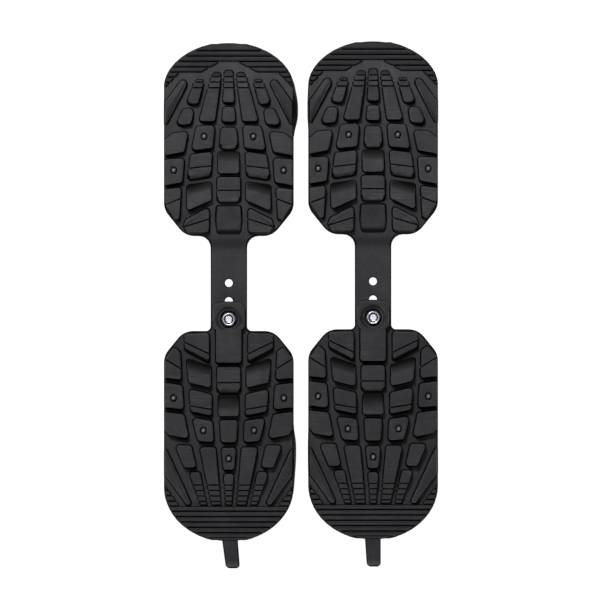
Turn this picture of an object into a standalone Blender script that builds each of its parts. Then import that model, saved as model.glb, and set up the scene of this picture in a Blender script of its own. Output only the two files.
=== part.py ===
"""A pair of shoe ice cleats, lying side by side with their treads up.

Each cleat is two rubber mouldings, a toe section and a heel section, joined under the arch of the shoe.
The toe section's long strap runs under the heel section and has a row of holes.
A bolt, a washer and a locking nut clamp the two together through one of those holes.
Steel studs stand in pockets in the tread.

Frame: +Y points to the toes, +Z out of the tread, and the floor is z = 0, under the cup rims.
Lengths are in millimetres and are multiplied by MM when a mesh is made.
Each cleat is drawn round its own middle line, x = 0, with y = 0 at the driving dimensions' zero.
"""

import math

import bmesh
import bpy
from mathutils import Vector

MM = 0.001

# ---- Driving dimensions, in millimetres ----
HALF_WIDTH = 41.1
CLEAT_SPACING = 91.8
RIGHT_CLEAT_AHEAD = 1.1

PLATE_BOTTOM = 18.0
PLATE_TOP = 23.0
LUG_TOP = 28.5
LUG_LOW = 23.8
LUG_ROOT = 22.0
RIB_TOP = 24.8
SIPE_FLOOR = 25.4
SIPE_WIDTH = 0.8
SIPE_OVERRUN = 0.7

STRAP_HALF_WIDTH = 11.4
STRAP_TOP = 21.0
STRAP_END_Y = -62.6
HOLE_PITCH = 11.5
FIRST_HOLE_Y = 14.4
HOLE_COUNT = 7
HOLE_RADIUS = 2.75
BOLT_Y = FIRST_HOLE_Y - 2 * HOLE_PITCH
GAP = 0.3

# A rounded end: where the straight side stops, its tip, and the power of the curve between. 2 is an ellipse.
TOE_TIP_Y = 167.0
TOE_ROUND = (140.0, TOE_TIP_Y, 1.8)
HEEL_ROUND = (-115.4, -149.7, 2.0)

TOE_CORNER_Y = 61.2
TOE_END_Y = 44.5
TOE_END_HALF_WIDTH = 27.6
# The toe plate thins down into the strap between these.
THINNING_FROM_Y = 45.5
THINNING_TO_Y = 34.0

HEEL_FRONT_Y = -16.3
HEEL_FRONT_HALF_WIDTH = 28.5
HEEL_CORNER_Y = -31.8
NECK_Y = -10.0
SOLE_CORNER_RADIUS = 12.0

TONGUE_HALF_WIDTH = 10.0
TONGUE_TIP_Y = 2.4
TONGUE_ROOT_Y = -19.0
TONGUE_CORNER_RADIUS = 4.5
DISH_RADIUS = 8.1
DISH_STEP_Z = 27.6
DISH_LOW_Z = 26.0
NUT_WELL_RADIUS = 5.4
NUT_WELL_FLOOR = 23.8
CHANNEL_TOP = STRAP_TOP + GAP
CHANNEL_END_Y = -87.5
CHANNEL_HALF_WIDTH = STRAP_HALF_WIDTH + 0.4

TAB_END_Y = -168.3
TAB_ROOT_HALF_WIDTH = 5.2
TAB_TIP_HALF_WIDTH = 4.5
TAB_CORNER_RADIUS = 1.8
TAB_BOTTOM = 0.5
TAB_TOP = 3.3
TAB_ROOT_Y = -146.0
TAB_LEAN_DEG = {"left": 6.0, "right": 2.0}

# The free ends of a cup wall bow outwards by this much, on its -x side and its +x side.
WALL_BOW = {"left": (0.8, 3.2), "right": (0.8, 0.8)}
HEEL_BOW_SHARE = 0.6
WALL_THICKNESS = 4.0
LIP_REACH = 9.5
TOE_WALL_ENDS = (108.0, 126.0)
HEEL_WALL_ENDS = (-76.0, -94.0)
LOWEST_WALL_SHARE = 0.12

STUD_SHANK_RADIUS = 1.4
STUD_FLANGE_RADIUS = 2.4
STUD_FLANGE_HEIGHT = 1.0
STUD_TIP_RADIUS = 0.55
STUD_TIP_Z = 30.2
STUD_BOTTOM_Z = PLATE_TOP - 0.1

BOLT_RADIUS = 2.45
BOLT_END_Z = 29.6
BOLT_HEAD_HEIGHT = 2.2
# The bolt head's outline from its face to its seat, as radius and height.
BOLT_HEAD_OUTLINE = [(3.0, 0.0), (4.5, 0.5), (5.2, 1.4), (5.2, BOLT_HEAD_HEIGHT)]
BOLT_END_CHAMFER = 0.5
WASHER_RADIUS = 6.0
WASHER_THICKNESS = 1.0
HEX_KEY_HALF_FLATS = 1.5
HEX_KEY_DEPTH = 1.4
NUT_HALF_FLATS = 4.0
NUT_BODY_HEIGHT = 3.5
NUT_COLLAR_RADIUS = 3.9
NUT_COLLAR_HEIGHT = 1.5
INSERT_OUTER_RADIUS = 3.2

LEFT_Y = -(TOE_TIP_Y + TAB_END_Y + RIGHT_CLEAT_AHEAD) / 2
CLEAT_PLACES = {
    "left": (-CLEAT_SPACING / 2, LEFT_Y),
    "right": (CLEAT_SPACING / 2, LEFT_Y + RIGHT_CLEAT_AHEAD),
}

# Lugs: outline corners on the +x side, then the top's height at the lug's toe-side and heel-side edges.
TOE_SIDE_LUGS = [
    ([(4.8, 147.4), (10.5, 147.4), (18.8, 117.3), (8.8, 117.3)], LUG_TOP, LUG_TOP),
    ([(15.6, 142.6), (21.6, 142.6), (26.4, 128.3), (19.4, 128.3)], LUG_TOP, LUG_TOP),
    ([(22.2, 125.3), (28.9, 125.0), (33.7, 114.7), (23.8, 115.6)], LUG_TOP, LUG_TOP),
    ([(26.4, 141.4), (30.7, 142.6), (40.0, 129.5), (40.0, 115.9)], LUG_TOP, LUG_TOP),
    ([(8.9, 114.5), (20.6, 114.0), (23.5, 98.8), (10.2, 100.3)], LUG_TOP, LUG_TOP),
    ([(25.7, 110.7), (35.6, 109.5), (40.3, 105.5), (40.3, 95.6), (28.4, 97.9)], LUG_TOP, LUG_TOP),
    ([(10.5, 97.7), (24.1, 95.9), (26.0, 81.9), (11.4, 84.2)], LUG_TOP, LUG_TOP),
    ([(28.3, 93.7), (40.3, 92.8), (40.3, 76.6), (29.5, 78.5)], LUG_TOP, LUG_TOP),
    ([(11.0, 78.7), (26.7, 76.6), (26.7, 60.1), (10.9, 67.2)], LUG_LOW, LUG_TOP),
    ([(30.2, 75.1), (40.3, 73.7), (39.7, 63.9), (34.0, 55.0), (31.4, 55.3)], LUG_TOP, LUG_TOP),
    ([(12.4, 62.4), (27.3, 54.7), (28.6, 50.5), (26.0, 46.9), (12.6, 46.9)], LUG_TOP, LUG_TOP),
]
HEEL_SIDE_LUGS = [
    ([(12.4, -17.6), (28.1, -18.2), (27.9, -26.9), (12.4, -34.9)], LUG_TOP, LUG_TOP),
    ([(11.3, -38.0), (27.0, -33.0), (25.4, -48.7), (11.1, -52.1)], LUG_LOW, LUG_TOP),
    ([(10.8, -56.5), (25.1, -53.0), (24.1, -66.9), (10.8, -69.6)], LUG_TOP, LUG_TOP),
    ([(10.2, -73.3), (23.2, -71.4), (19.6, -85.7), (9.5, -86.6)], LUG_TOP, LUG_TOP),
    ([(8.3, -90.0), (18.5, -90.1), (11.0, -126.2), (5.1, -126.2)], LUG_TOP, LUG_TOP),
    ([(23.8, -88.8), (34.0, -88.8), (28.3, -102.7), (20.6, -102.7)], LUG_TOP, LUG_TOP),
    ([(18.4, -105.7), (25.2, -105.9), (18.0, -126.2), (14.0, -126.2)], LUG_TOP, LUG_TOP),
    ([(30.8, -29.5), (34.6, -26.3), (40.3, -34.2), (40.3, -45.7), (30.0, -46.9)], LUG_TOP, LUG_TOP),
    ([(29.5, -50.7), (40.3, -49.1), (40.3, -64.4), (28.6, -65.8)], LUG_TOP, LUG_TOP),
    ([(28.3, -69.2), (40.3, -67.6), (40.3, -78.4), (38.1, -81.9), (25.2, -84.4)], LUG_TOP, LUG_TOP),
    ([(40.3, -90.1), (40.3, -107.9), (26.7, -126.6), (23.8, -125.7)], LUG_TOP, LUG_TOP),
]
# Middle lugs: toe-side y and half width, heel-side y and half width, then the two top heights.
TOE_MIDDLE_LUGS = [
    (149.6, 2.6, 129.3, 3.6, LUG_TOP, LUG_TOP),
    (126.1, 3.6, 117.0, 4.3, LUG_TOP, LUG_TOP),
    (113.0, 4.8, 98.2, 5.8, LUG_TOP, LUG_TOP),
    (97.6, 6.7, 84.1, 6.7, LUG_LOW, LUG_TOP),
    (81.6, 7.3, 64.4, 7.3, LUG_TOP, LUG_TOP),
    (63.6, 7.9, 47.2, 7.9, LUG_LOW, 26.2),
]
HEEL_MIDDLE_LUGS = [
    (-17.4, 8.1, -36.1, 8.1, LUG_TOP, LUG_TOP),
    (-39.0, 7.4, -56.0, 7.4, LUG_TOP, LUG_TOP),
    (-56.6, 6.5, -70.1, 6.5, LUG_LOW, LUG_TOP),
    (-72.8, 5.7, -86.6, 4.8, LUG_TOP, LUG_TOP),
    (-90.4, 4.7, -104.1, 3.4, LUG_TOP, LUG_TOP),
    (-106.9, 3.2, -126.2, 1.9, LUG_TOP, LUG_TOP),
]
# Sipes and the long lugs' grooves, from one (x, y) to another. One that doesn't cross x = 0 has a mirrored twin.
TOE_SIPES = [
    ((10.8, 88.8), (25.4, 87.2)), ((30.9, 67.7), (40.0, 64.3)), ((12.7, 54.9), (28.3, 50.1)),
    ((-7.3, 73.2), (7.3, 73.2)),
    ((-12.0, 145.5), (12.0, 145.5)), ((-23.0, 142.0), (23.0, 142.0)), ((-24.0, 138.4), (24.0, 138.4)),
]
HEEL_SIPES = [
    ((12.4, -30.7), (27.5, -23.4)), ((10.5, -65.9), (25.2, -63.6)), ((30.3, -40.1), (40.0, -34.2)),
    ((-7.4, -48.9), (7.4, -48.9)),
    ((-23.5, -113.9), (23.5, -113.9)), ((-22.0, -117.4), (22.0, -117.4)),
    ((-21.0, -120.9), (21.0, -120.9)), ((-19.5, -124.4), (19.5, -124.4)),
]

# Ribs across the rounded ends: the y of the grooves between them, and the slanting lines where short ribs stop.
TOE_RIB_EDGES_Y = [165.6] + [162.1 - 3.4 * i for i in range(7)]
TOE_WHOLE_RIBS_END_Y = 155.0
TOE_SLANT_END_Y = 148.4
TOE_RIB_SLANT = [(6.3, 154.9), (18.2, 148.5)]
TOE_RIB_SHOULDER = [(31.4, 148.5), (40.2, 139.2)]
HEEL_RIB_EDGES_Y = [-127.4] + [-130.7 - 3.42 * i for i in range(6)]
HEEL_SHORT_RIB_EDGES_Y = [-117.4, -120.8, -124.3, -127.4]
HEEL_RIB_SLANT = [(40.5, -114.6), (31.2, -127.4)]
RIB_INSET = 0.9
RIB_GAP = 1.0

TOE_STUDS = [(15.6, 107.6), (-15.6, 107.6), (34.9, 86.1), (-34.9, 86.1)]
HEEL_STUDS = [(0.0, -97.0), (16.1, -79.1), (-16.1, -79.1), (35.0, -58.5), (-35.0, -58.5)]

# Colours as linear red, green, blue, then roughness and metallic.
MATERIALS = {
    "rubber": ((0.042, 0.042, 0.047), 0.62, 0.0),
    "stud_steel": ((0.38, 0.39, 0.41), 0.35, 1.0),
    "zinc_steel": ((0.78, 0.78, 0.80), 0.25, 1.0),
    "blue_nylon": ((0.02, 0.06, 0.30), 0.45, 0.0),
}


def clear_scene():
    for item in list(bpy.data.objects):
        bpy.data.objects.remove(item)


def make_material(name):
    colour, roughness, metallic = MATERIALS[name]
    material = bpy.data.materials.new(name)
    material.use_nodes = True
    shader = material.node_tree.nodes["Principled BSDF"]
    shader.inputs["Base Color"].default_value = (*colour, 1.0)
    shader.inputs["Roughness"].default_value = roughness
    shader.inputs["Metallic"].default_value = metallic
    return material


def make_object(name, bm, material=None):
    """A mesh object in the scene from a bmesh drawn in millimetres."""
    bmesh.ops.scale(bm, vec=(MM, MM, MM), verts=bm.verts)
    bmesh.ops.recalc_face_normals(bm, faces=bm.faces)
    mesh = bpy.data.meshes.new(name)
    bm.to_mesh(mesh)
    bm.free()
    item = bpy.data.objects.new(name, mesh)
    bpy.context.collection.objects.link(item)
    if material:
        mesh.materials.append(material)
    return item


def make_cutter(name, bm):
    """A shape that only feeds a Boolean."""
    item = make_object(name, bm)
    item.hide_render = True
    item.display_type = "WIRE"
    return item


def combine(target, operation, operand):
    modifier = target.modifiers.new(operand.name, "BOOLEAN")
    modifier.operation = operation
    modifier.solver = "EXACT"
    modifier.object = operand


def add_loft(bm, rings):
    """Skin a list of closed rings of 3-D points, and cap both ends."""
    rows = [[bm.verts.new(point) for point in ring] for ring in rings]
    for row, following in zip(rows, rows[1:]):
        for i in range(len(row)):
            j = (i + 1) % len(row)
            bm.faces.new((row[i], row[j], following[j], following[i]))
    bm.faces.new(rows[0])
    bm.faces.new(reversed(rows[-1]))


def add_prism(bm, outline, bottom, top_of):
    """Raise an outline of (x, y) points from bottom to the height top_of(y)."""
    low = [(x, y, bottom) for x, y in outline]
    high = [(x, y, top_of(y)) for x, y in outline]
    add_loft(bm, [low, high])


def add_turned(bm, profile, centre, segments):
    """Turn a profile of (radius, z) points about a vertical axis."""
    angles = [2 * math.pi * i / segments for i in range(segments)]
    rings = []
    for radius, z in profile:
        rings.append([(centre[0] + radius * math.cos(a), centre[1] + radius * math.sin(a), z) for a in angles])
    add_loft(bm, rings)


def add_pipe(bm, outer, inner, segments):
    """A ring-shaped body: an outer profile and an inner profile of (radius, z), both from bottom to top."""
    profile = outer + inner[::-1]
    rows = []
    for i in range(segments):
        a = 2 * math.pi * i / segments
        rows.append([bm.verts.new((r * math.cos(a), r * math.sin(a), z)) for r, z in profile])
    for row, following in zip(rows, rows[1:] + rows[:1]):
        for i in range(len(profile)):
            j = (i + 1) % len(profile)
            bm.faces.new((row[i], row[j], following[j], following[i]))


def rounded(corners, segments=3):
    """Points along a line of (x, y, radius) corners, each rounded by an arc of its radius."""
    points = []
    for i, (x, y, radius) in enumerate(corners):
        corner = Vector((x, y))
        if radius == 0 or i in (0, len(corners) - 1):
            points.append((x, y))
            continue
        back = (Vector(corners[i - 1][:2]) - corner).normalized()
        ahead = (Vector(corners[i + 1][:2]) - corner).normalized()
        half_angle = back.angle(ahead) / 2
        reach = radius / math.tan(half_angle)
        middle = corner + (back + ahead).normalized() * radius / math.sin(half_angle)
        start = corner + back * reach - middle
        end = corner + ahead * reach - middle
        turn = start.angle_signed(end)
        for step in range(segments + 1):
            angle = -turn * step / segments
            spoke = Vector((
                start.x * math.cos(angle) - start.y * math.sin(angle),
                start.x * math.sin(angle) + start.y * math.cos(angle),
            ))
            points.append(tuple(middle + spoke))
    return points


def end_point(angle, rounding):
    """A point of a rounded end's curve: on the straight side at angle 0, at the tip at a quarter turn."""
    straight_y, tip_y, power = rounding
    rise = max(0.0, math.sin(angle)) ** (2 / power)
    return HALF_WIDTH * math.cos(angle), straight_y + (tip_y - straight_y) * rise


def end_quarter(rounding, steps):
    """Points of the rounded end's +x half, from its tip to where the straight side starts."""
    return [end_point(math.pi / 2 * (1 - i / steps), rounding) for i in range(1, steps + 1)]


def end_half_width(y, rounding):
    straight_y, tip_y, power = rounding
    share = max(0.0, (y - straight_y) / (tip_y - straight_y))
    return HALF_WIDTH * math.sqrt(max(0.0, 1 - share ** power))


def add_plate(bm, half_outline, bottom, top_of):
    """A flat body whose half width is given from one end to the other: a loft of rectangles across x."""
    rings = []
    for half, y in half_outline:
        rings.append([(-half, y, bottom), (half, y, bottom), (half, y, top_of(y)), (-half, y, top_of(y))])
    add_loft(bm, rings)


def toe_top(y):
    """The toe plate thins into the strap over its concave corners."""
    share = (y - THINNING_TO_Y) / (THINNING_FROM_Y - THINNING_TO_Y)
    return STRAP_TOP + (PLATE_TOP - STRAP_TOP) * min(1.0, max(0.0, share))


def toe_plate():
    corners = [
        (HALF_WIDTH, TOE_ROUND[0] - 1, 0),
        (HALF_WIDTH, TOE_CORNER_Y, SOLE_CORNER_RADIUS),
        (TOE_END_HALF_WIDTH, TOE_END_Y + 0.3, SOLE_CORNER_RADIUS),
        (STRAP_HALF_WIDTH, TOE_END_Y - 0.3, 9.0),
        (STRAP_HALF_WIDTH, 20.0, 0),
    ]
    half = end_quarter(TOE_ROUND, 9) + rounded(corners)
    end_steps = 6
    for i in range(end_steps):
        angle = math.pi / 2 * i / end_steps
        half.append((STRAP_HALF_WIDTH * math.cos(angle), STRAP_END_Y + STRAP_HALF_WIDTH * (1 - math.sin(angle))))
    bm = bmesh.new()
    add_plate(bm, half, PLATE_BOTTOM, toe_top)
    return bm


def heel_plate():
    corners = [
        (STRAP_HALF_WIDTH, NECK_Y, 0),
        (STRAP_HALF_WIDTH, HEEL_FRONT_Y + 0.2, 3.0),
        (HEEL_FRONT_HALF_WIDTH, HEEL_FRONT_Y - 0.2, SOLE_CORNER_RADIUS),
        (HALF_WIDTH, HEEL_CORNER_Y, SOLE_CORNER_RADIUS),
        (HALF_WIDTH, HEEL_ROUND[0] + 1, 0),
    ]
    half = rounded(corners) + end_quarter(HEEL_ROUND, 9)[::-1]
    bm = bmesh.new()
    add_plate(bm, half, PLATE_BOTTOM, lambda y: PLATE_TOP)
    return bm


def add_lug(bm, outline, toe_side_top, heel_side_top):
    """A lug whose top runs evenly from its toe-side height to its heel-side height."""
    high_y = max(y for _, y in outline)
    low_y = min(y for _, y in outline)

    def top_of(y):
        return heel_side_top + (toe_side_top - heel_side_top) * (y - low_y) / (high_y - low_y)

    add_prism(bm, outline, LUG_ROOT, top_of)


def lugs(side_lugs, middle_lugs):
    bm = bmesh.new()
    for outline, toe_side_top, heel_side_top in side_lugs:
        add_lug(bm, outline, toe_side_top, heel_side_top)
        add_lug(bm, [(-x, y) for x, y in outline][::-1], toe_side_top, heel_side_top)
    for high_y, high_half, low_y, low_half, toe_side_top, heel_side_top in middle_lugs:
        outline = [(-high_half, high_y), (high_half, high_y), (low_half, low_y), (-low_half, low_y)]
        add_lug(bm, outline, toe_side_top, heel_side_top)
    return bm


def x_on_line(line, y):
    """The x at which a line through two (x, y) points crosses y."""
    (x0, y0), (x1, y1) = line
    return x0 + (y - y0) * (x1 - x0) / (y1 - y0)


def add_rib(bm, high_y, low_y, rounding, inner_line=None):
    """A bar across the rounded end between two grooves, following the outline at both ends.

    With inner_line, it is two short bars that stop at that line.
    """
    near_y, far_y = high_y - RIB_GAP / 2, low_y + RIB_GAP / 2
    ys = [near_y + (far_y - near_y) * i / 2 for i in range(3)]
    outer = [(end_half_width(y, rounding) - RIB_INSET, y) for y in ys]
    if inner_line is None:
        add_prism(bm, outer + [(-x, y) for x, y in outer][::-1], LUG_ROOT, lambda y: RIB_TOP)
        return
    inner = [(x_on_line(inner_line, y), y) for y in (far_y, near_y)]
    for side in (1, -1):
        add_prism(bm, [(side * x, y) for x, y in outer + inner], LUG_ROOT, lambda y: RIB_TOP)


def toe_ribs():
    bm = bmesh.new()
    for high, low in zip(TOE_RIB_EDGES_Y, TOE_RIB_EDGES_Y[1:]):
        if low > TOE_WHOLE_RIBS_END_Y:
            inner_line = None
        else:
            inner_line = TOE_RIB_SLANT if low > TOE_SLANT_END_Y else TOE_RIB_SHOULDER
        add_rib(bm, high, low, TOE_ROUND, inner_line)
    return bm


def heel_ribs():
    bm = bmesh.new()
    for high, low in zip(HEEL_RIB_EDGES_Y, HEEL_RIB_EDGES_Y[1:]):
        add_rib(bm, high, low, HEEL_ROUND)
    for high, low in zip(HEEL_SHORT_RIB_EDGES_Y, HEEL_SHORT_RIB_EDGES_Y[1:]):
        add_rib(bm, high, low, HEEL_ROUND, HEEL_RIB_SLANT)
    return bm


def sipes(lines):
    """A thin upright cutter along each line, which runs a little past the line's ends."""
    bm = bmesh.new()
    for start, end in lines:
        sides = (1,) if start[0] < 0 else (1, -1)
        for side in sides:
            a = Vector((side * start[0], start[1]))
            b = Vector((side * end[0], end[1]))
            along = (b - a).normalized()
            across = Vector((-along.y, along.x)) * SIPE_WIDTH / 2
            a, b = a - along * SIPE_OVERRUN, b + along * SIPE_OVERRUN
            outline = [tuple(p) for p in (a - across, b - across, b + across, a + across)]
            add_prism(bm, outline, SIPE_FLOOR, lambda y: LUG_TOP + 1)
    return bm


def wall_section(height_share, bow):
    """A cup wall's cross-section as (outwards, z): down the outer face, in along the rim lip, up the inner face."""
    lip = WALL_THICKNESS + (LIP_REACH - WALL_THICKNESS) * height_share * height_share
    section = [
        (-0.5, 2.0), (bow * 0.55 - 0.1, -4.0), (bow, -10.0), (bow * 0.4, -16.0), (-1.2, -18.0),
        (-WALL_THICKNESS, -18.0), (-lip, -17.4), (-lip, -15.2), (-WALL_THICKNESS - 0.4, -13.6),
        (bow - WALL_THICKNESS + 0.2, -9.0), (-WALL_THICKNESS, -3.0), (-WALL_THICKNESS - 1.0, 2.0),
    ]
    return [(out, PLATE_BOTTOM + (z if z > 0 else z * height_share)) for out, z in section]


def wall_path(rounding, ends, end_steps=12):
    """Points round a cup as (x, y, outward x, outward y), from the -x side to the +x side."""
    straight_y, tip_y, power = rounding
    side_ys = [ends[0] + (straight_y - ends[0]) * share for share in (0.0, 0.25, 0.55, 0.85)]
    path = [(-HALF_WIDTH, y, -1.0, 0.0) for y in side_ys]
    for i in range(end_steps + 1):
        angle = math.pi * (1 - i / end_steps)
        lift = power * max(0.0, math.sin(angle)) ** (2 - 2 / power) / (tip_y - straight_y)
        outward = Vector((2 * math.cos(angle) / HALF_WIDTH, lift)).normalized()
        path.append((*end_point(angle, rounding), outward.x, outward.y))
    return path + [(HALF_WIDTH, y, 1.0, 0.0) for y in reversed(side_ys)]


def smooth_share(value, start, end):
    share = min(1.0, max(0.0, (value - start) / (end - start)))
    return share * share * (3 - 2 * share)


def cup_wall(rounding, ends, bows):
    """The wall round a cup. It rises from low free ends and bows outwards most near them."""
    bm = bmesh.new()
    rings = []
    tip_y = rounding[1]
    for x, y, out_x, out_y in wall_path(rounding, ends):
        height_share = LOWEST_WALL_SHARE + (1 - LOWEST_WALL_SHARE) * smooth_share(y, *ends)
        near_end = 1 - smooth_share(abs(y - ends[0]), abs(ends[1] - ends[0]), abs(tip_y - ends[0]) * 0.7)
        bow = bows[0 if x < 0 else 1] * near_end * math.sin(math.pi / 2 * height_share)
        section = wall_section(height_share, bow)
        rings.append([(x + out * out_x, y + out * out_y, z) for out, z in section])
    add_loft(bm, rings)
    return bm


def pull_tab(lean_deg):
    bm = bmesh.new()
    side = rounded([
        (TAB_ROOT_HALF_WIDTH, TAB_ROOT_Y, 0),
        (TAB_TIP_HALF_WIDTH, TAB_END_Y, TAB_CORNER_RADIUS),
        (0.0, TAB_END_Y, 0),
    ])[:-1]
    outline = side + [(-x, y) for x, y in reversed(side)]
    lean = math.radians(lean_deg)
    outline = [(x - (y - TAB_ROOT_Y) * math.tan(lean), y) for x, y in outline]
    low = [(x, y, TAB_BOTTOM) for x, y in outline]
    high = [(x, y, TAB_TOP) for x, y in outline]
    add_loft(bm, [low, high])
    return bm


def tongue():
    side = rounded([
        (0.0, TONGUE_TIP_Y, 0),
        (TONGUE_HALF_WIDTH, TONGUE_TIP_Y, TONGUE_CORNER_RADIUS),
        (TONGUE_HALF_WIDTH, TONGUE_ROOT_Y, 0),
    ])[1:]
    bm = bmesh.new()
    add_prism(bm, side + [(-x, y) for x, y in reversed(side)], STRAP_TOP, lambda y: LUG_TOP)
    return bm


def nut_well():
    """The dished recess in the tongue, with the nut's well and the bolt's hole at its middle."""
    bm = bmesh.new()
    profile = [
        (HOLE_RADIUS, STRAP_TOP - 1), (HOLE_RADIUS, NUT_WELL_FLOOR), (NUT_WELL_RADIUS, NUT_WELL_FLOOR),
        (NUT_WELL_RADIUS, DISH_LOW_Z), (DISH_RADIUS, DISH_STEP_Z), (DISH_RADIUS, LUG_TOP + 1),
    ]
    add_turned(bm, profile, (0.0, BOLT_Y), 28)
    return bm


def strap_holes():
    bm = bmesh.new()
    for i in range(HOLE_COUNT):
        centre = (0.0, FIRST_HOLE_Y - i * HOLE_PITCH)
        add_turned(bm, [(HOLE_RADIUS, PLATE_BOTTOM - 1), (HOLE_RADIUS, PLATE_TOP)], centre, 20)
    return bm


def strap_channel():
    """The space under the heel section that the strap slides in, open towards the shoe and the toe."""
    bm = bmesh.new()
    outline = [
        (-CHANNEL_HALF_WIDTH, TONGUE_TIP_Y + 2), (CHANNEL_HALF_WIDTH, TONGUE_TIP_Y + 2),
        (CHANNEL_HALF_WIDTH, CHANNEL_END_Y), (-CHANNEL_HALF_WIDTH, CHANNEL_END_Y),
    ]
    add_prism(bm, outline, PLATE_BOTTOM - 1, lambda y: CHANNEL_TOP)
    return bm


def stud_pockets(places):
    """A wide chamber for each stud's flange, with a narrower neck up through the lug."""
    flange = STUD_FLANGE_RADIUS + GAP
    neck = STUD_SHANK_RADIUS + GAP
    low = STUD_BOTTOM_Z - GAP
    shoulder = STUD_BOTTOM_Z + STUD_FLANGE_HEIGHT + GAP
    bm = bmesh.new()
    for centre in places:
        add_turned(bm, [(flange, low), (flange, shoulder), (neck, shoulder), (neck, LUG_TOP + 1)], centre, 14)
    return bm


def make_section(name, plate, added, removed, material):
    """One rubber moulding: a plate with shapes joined to it and shapes cut from it."""
    section = make_object(name, plate, material)
    for label, shape in added:
        combine(section, "UNION", make_cutter(f"{name}_{label}", shape))
    for label, shape in removed:
        combine(section, "DIFFERENCE", make_cutter(f"{name}_{label}", shape))
    return section


def toe_section(side, material):
    bows = WALL_BOW[side]
    added = [
        ("wall", cup_wall(TOE_ROUND, TOE_WALL_ENDS, bows)),
        ("lugs", lugs(TOE_SIDE_LUGS, TOE_MIDDLE_LUGS)),
        ("ribs", toe_ribs()),
    ]
    removed = [
        ("holes", strap_holes()), ("pockets", stud_pockets(TOE_STUDS)), ("sipes", sipes(TOE_SIPES)),
    ]
    return make_section(f"{side}_toe_section", toe_plate(), added, removed, material)


def heel_section(side, material):
    bows = [bow * HEEL_BOW_SHARE for bow in WALL_BOW[side]]
    added = [
        ("wall", cup_wall(HEEL_ROUND, HEEL_WALL_ENDS, bows)),
        ("lugs", lugs(HEEL_SIDE_LUGS, HEEL_MIDDLE_LUGS)),
        ("ribs", heel_ribs()),
        ("tongue", tongue()),
        ("tab", pull_tab(TAB_LEAN_DEG[side])),
    ]
    removed = [
        ("channel", strap_channel()), ("well", nut_well()),
        ("pockets", stud_pockets(HEEL_STUDS)), ("sipes", sipes(HEEL_SIPES)),
    ]
    return make_section(f"{side}_heel_section", heel_plate(), added, removed, material)


def shade_round(item, angle_deg=40):
    item.data.shade_smooth()
    item.data.set_sharp_from_angle(angle=math.radians(angle_deg))


def stud_mesh_object(name, material):
    flange_top = STUD_BOTTOM_Z + STUD_FLANGE_HEIGHT
    profile = [
        (STUD_FLANGE_RADIUS, STUD_BOTTOM_Z), (STUD_FLANGE_RADIUS, flange_top),
        (STUD_SHANK_RADIUS, flange_top), (STUD_SHANK_RADIUS, LUG_TOP + 0.5), (STUD_TIP_RADIUS, STUD_TIP_Z),
    ]
    bm = bmesh.new()
    add_turned(bm, profile, (0.0, 0.0), 12)
    item = make_object(name, bm, material)
    shade_round(item)
    return item


def bolt(name, material):
    """A low round head with a hex key recess, against the washer, and a plain shank up through the nut."""
    head_top = PLATE_BOTTOM - GAP - WASHER_THICKNESS - GAP
    head_bottom = head_top - BOLT_HEAD_HEIGHT
    profile = [(radius, head_bottom + height) for radius, height in BOLT_HEAD_OUTLINE]
    profile += [
        (BOLT_RADIUS, head_top), (BOLT_RADIUS, BOLT_END_Z - BOLT_END_CHAMFER),
        (BOLT_RADIUS - BOLT_END_CHAMFER, BOLT_END_Z),
    ]
    bm = bmesh.new()
    add_turned(bm, profile, (0.0, 0.0), 24)
    item = make_object(name, bm, material)
    recess = bmesh.new()
    recess_radius = HEX_KEY_HALF_FLATS / math.cos(math.pi / 6)
    add_turned(recess, [(recess_radius, head_bottom - 1), (recess_radius, head_bottom + HEX_KEY_DEPTH)], (0, 0), 6)
    cutter = make_cutter(f"{name}_key_recess", recess)
    combine(item, "DIFFERENCE", cutter)
    shade_round(item)
    return item, cutter


def lock_nut(name, material):
    """A hexagon nut with a round collar that holds the nylon ring."""
    bottom = NUT_WELL_FLOOR + GAP
    body_top = bottom + NUT_BODY_HEIGHT
    collar_top = body_top + NUT_COLLAR_HEIGHT
    pocket_radius = INSERT_OUTER_RADIUS + GAP
    pocket_floor = body_top - GAP
    bm = bmesh.new()
    hexagon = NUT_HALF_FLATS / math.cos(math.pi / 6)
    add_turned(bm, [(hexagon, bottom), (hexagon, body_top)], (0.0, 0.0), 6)
    item = make_object(name, bm, material)
    collar = bmesh.new()
    add_turned(collar, [(NUT_COLLAR_RADIUS, bottom + 1), (NUT_COLLAR_RADIUS, collar_top)], (0.0, 0.0), 24)
    bore = bmesh.new()
    profile = [
        (HOLE_RADIUS, bottom - 1), (HOLE_RADIUS, pocket_floor),
        (pocket_radius, pocket_floor), (pocket_radius, collar_top + 1),
    ]
    add_turned(bore, profile, (0.0, 0.0), 24)
    cutters = [make_cutter(f"{name}_collar", collar), make_cutter(f"{name}_bore", bore)]
    combine(item, "UNION", cutters[0])
    combine(item, "DIFFERENCE", cutters[1])
    shade_round(item)
    return item, cutters


def nut_insert(name, material):
    low = NUT_WELL_FLOOR + GAP + NUT_BODY_HEIGHT
    high = low + NUT_COLLAR_HEIGHT - 0.1
    bm = bmesh.new()
    outer = [(INSERT_OUTER_RADIUS, low), (INSERT_OUTER_RADIUS, high)]
    inner = [(HOLE_RADIUS, low), (HOLE_RADIUS, high)]
    add_pipe(bm, outer, inner, 24)
    item = make_object(name, bm, material)
    shade_round(item)
    return item


def washer(name, material):
    high = PLATE_BOTTOM - GAP
    low = high - WASHER_THICKNESS
    bm = bmesh.new()
    add_pipe(bm, [(WASHER_RADIUS, low), (WASHER_RADIUS, high)], [(HOLE_RADIUS, low), (HOLE_RADIUS, high)], 24)
    item = make_object(name, bm, material)
    shade_round(item)
    return item


def make_empty(name, parent, place):
    empty = bpy.data.objects.new(name, None)
    bpy.context.collection.objects.link(empty)
    attach(empty, parent, place)
    return empty


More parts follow.
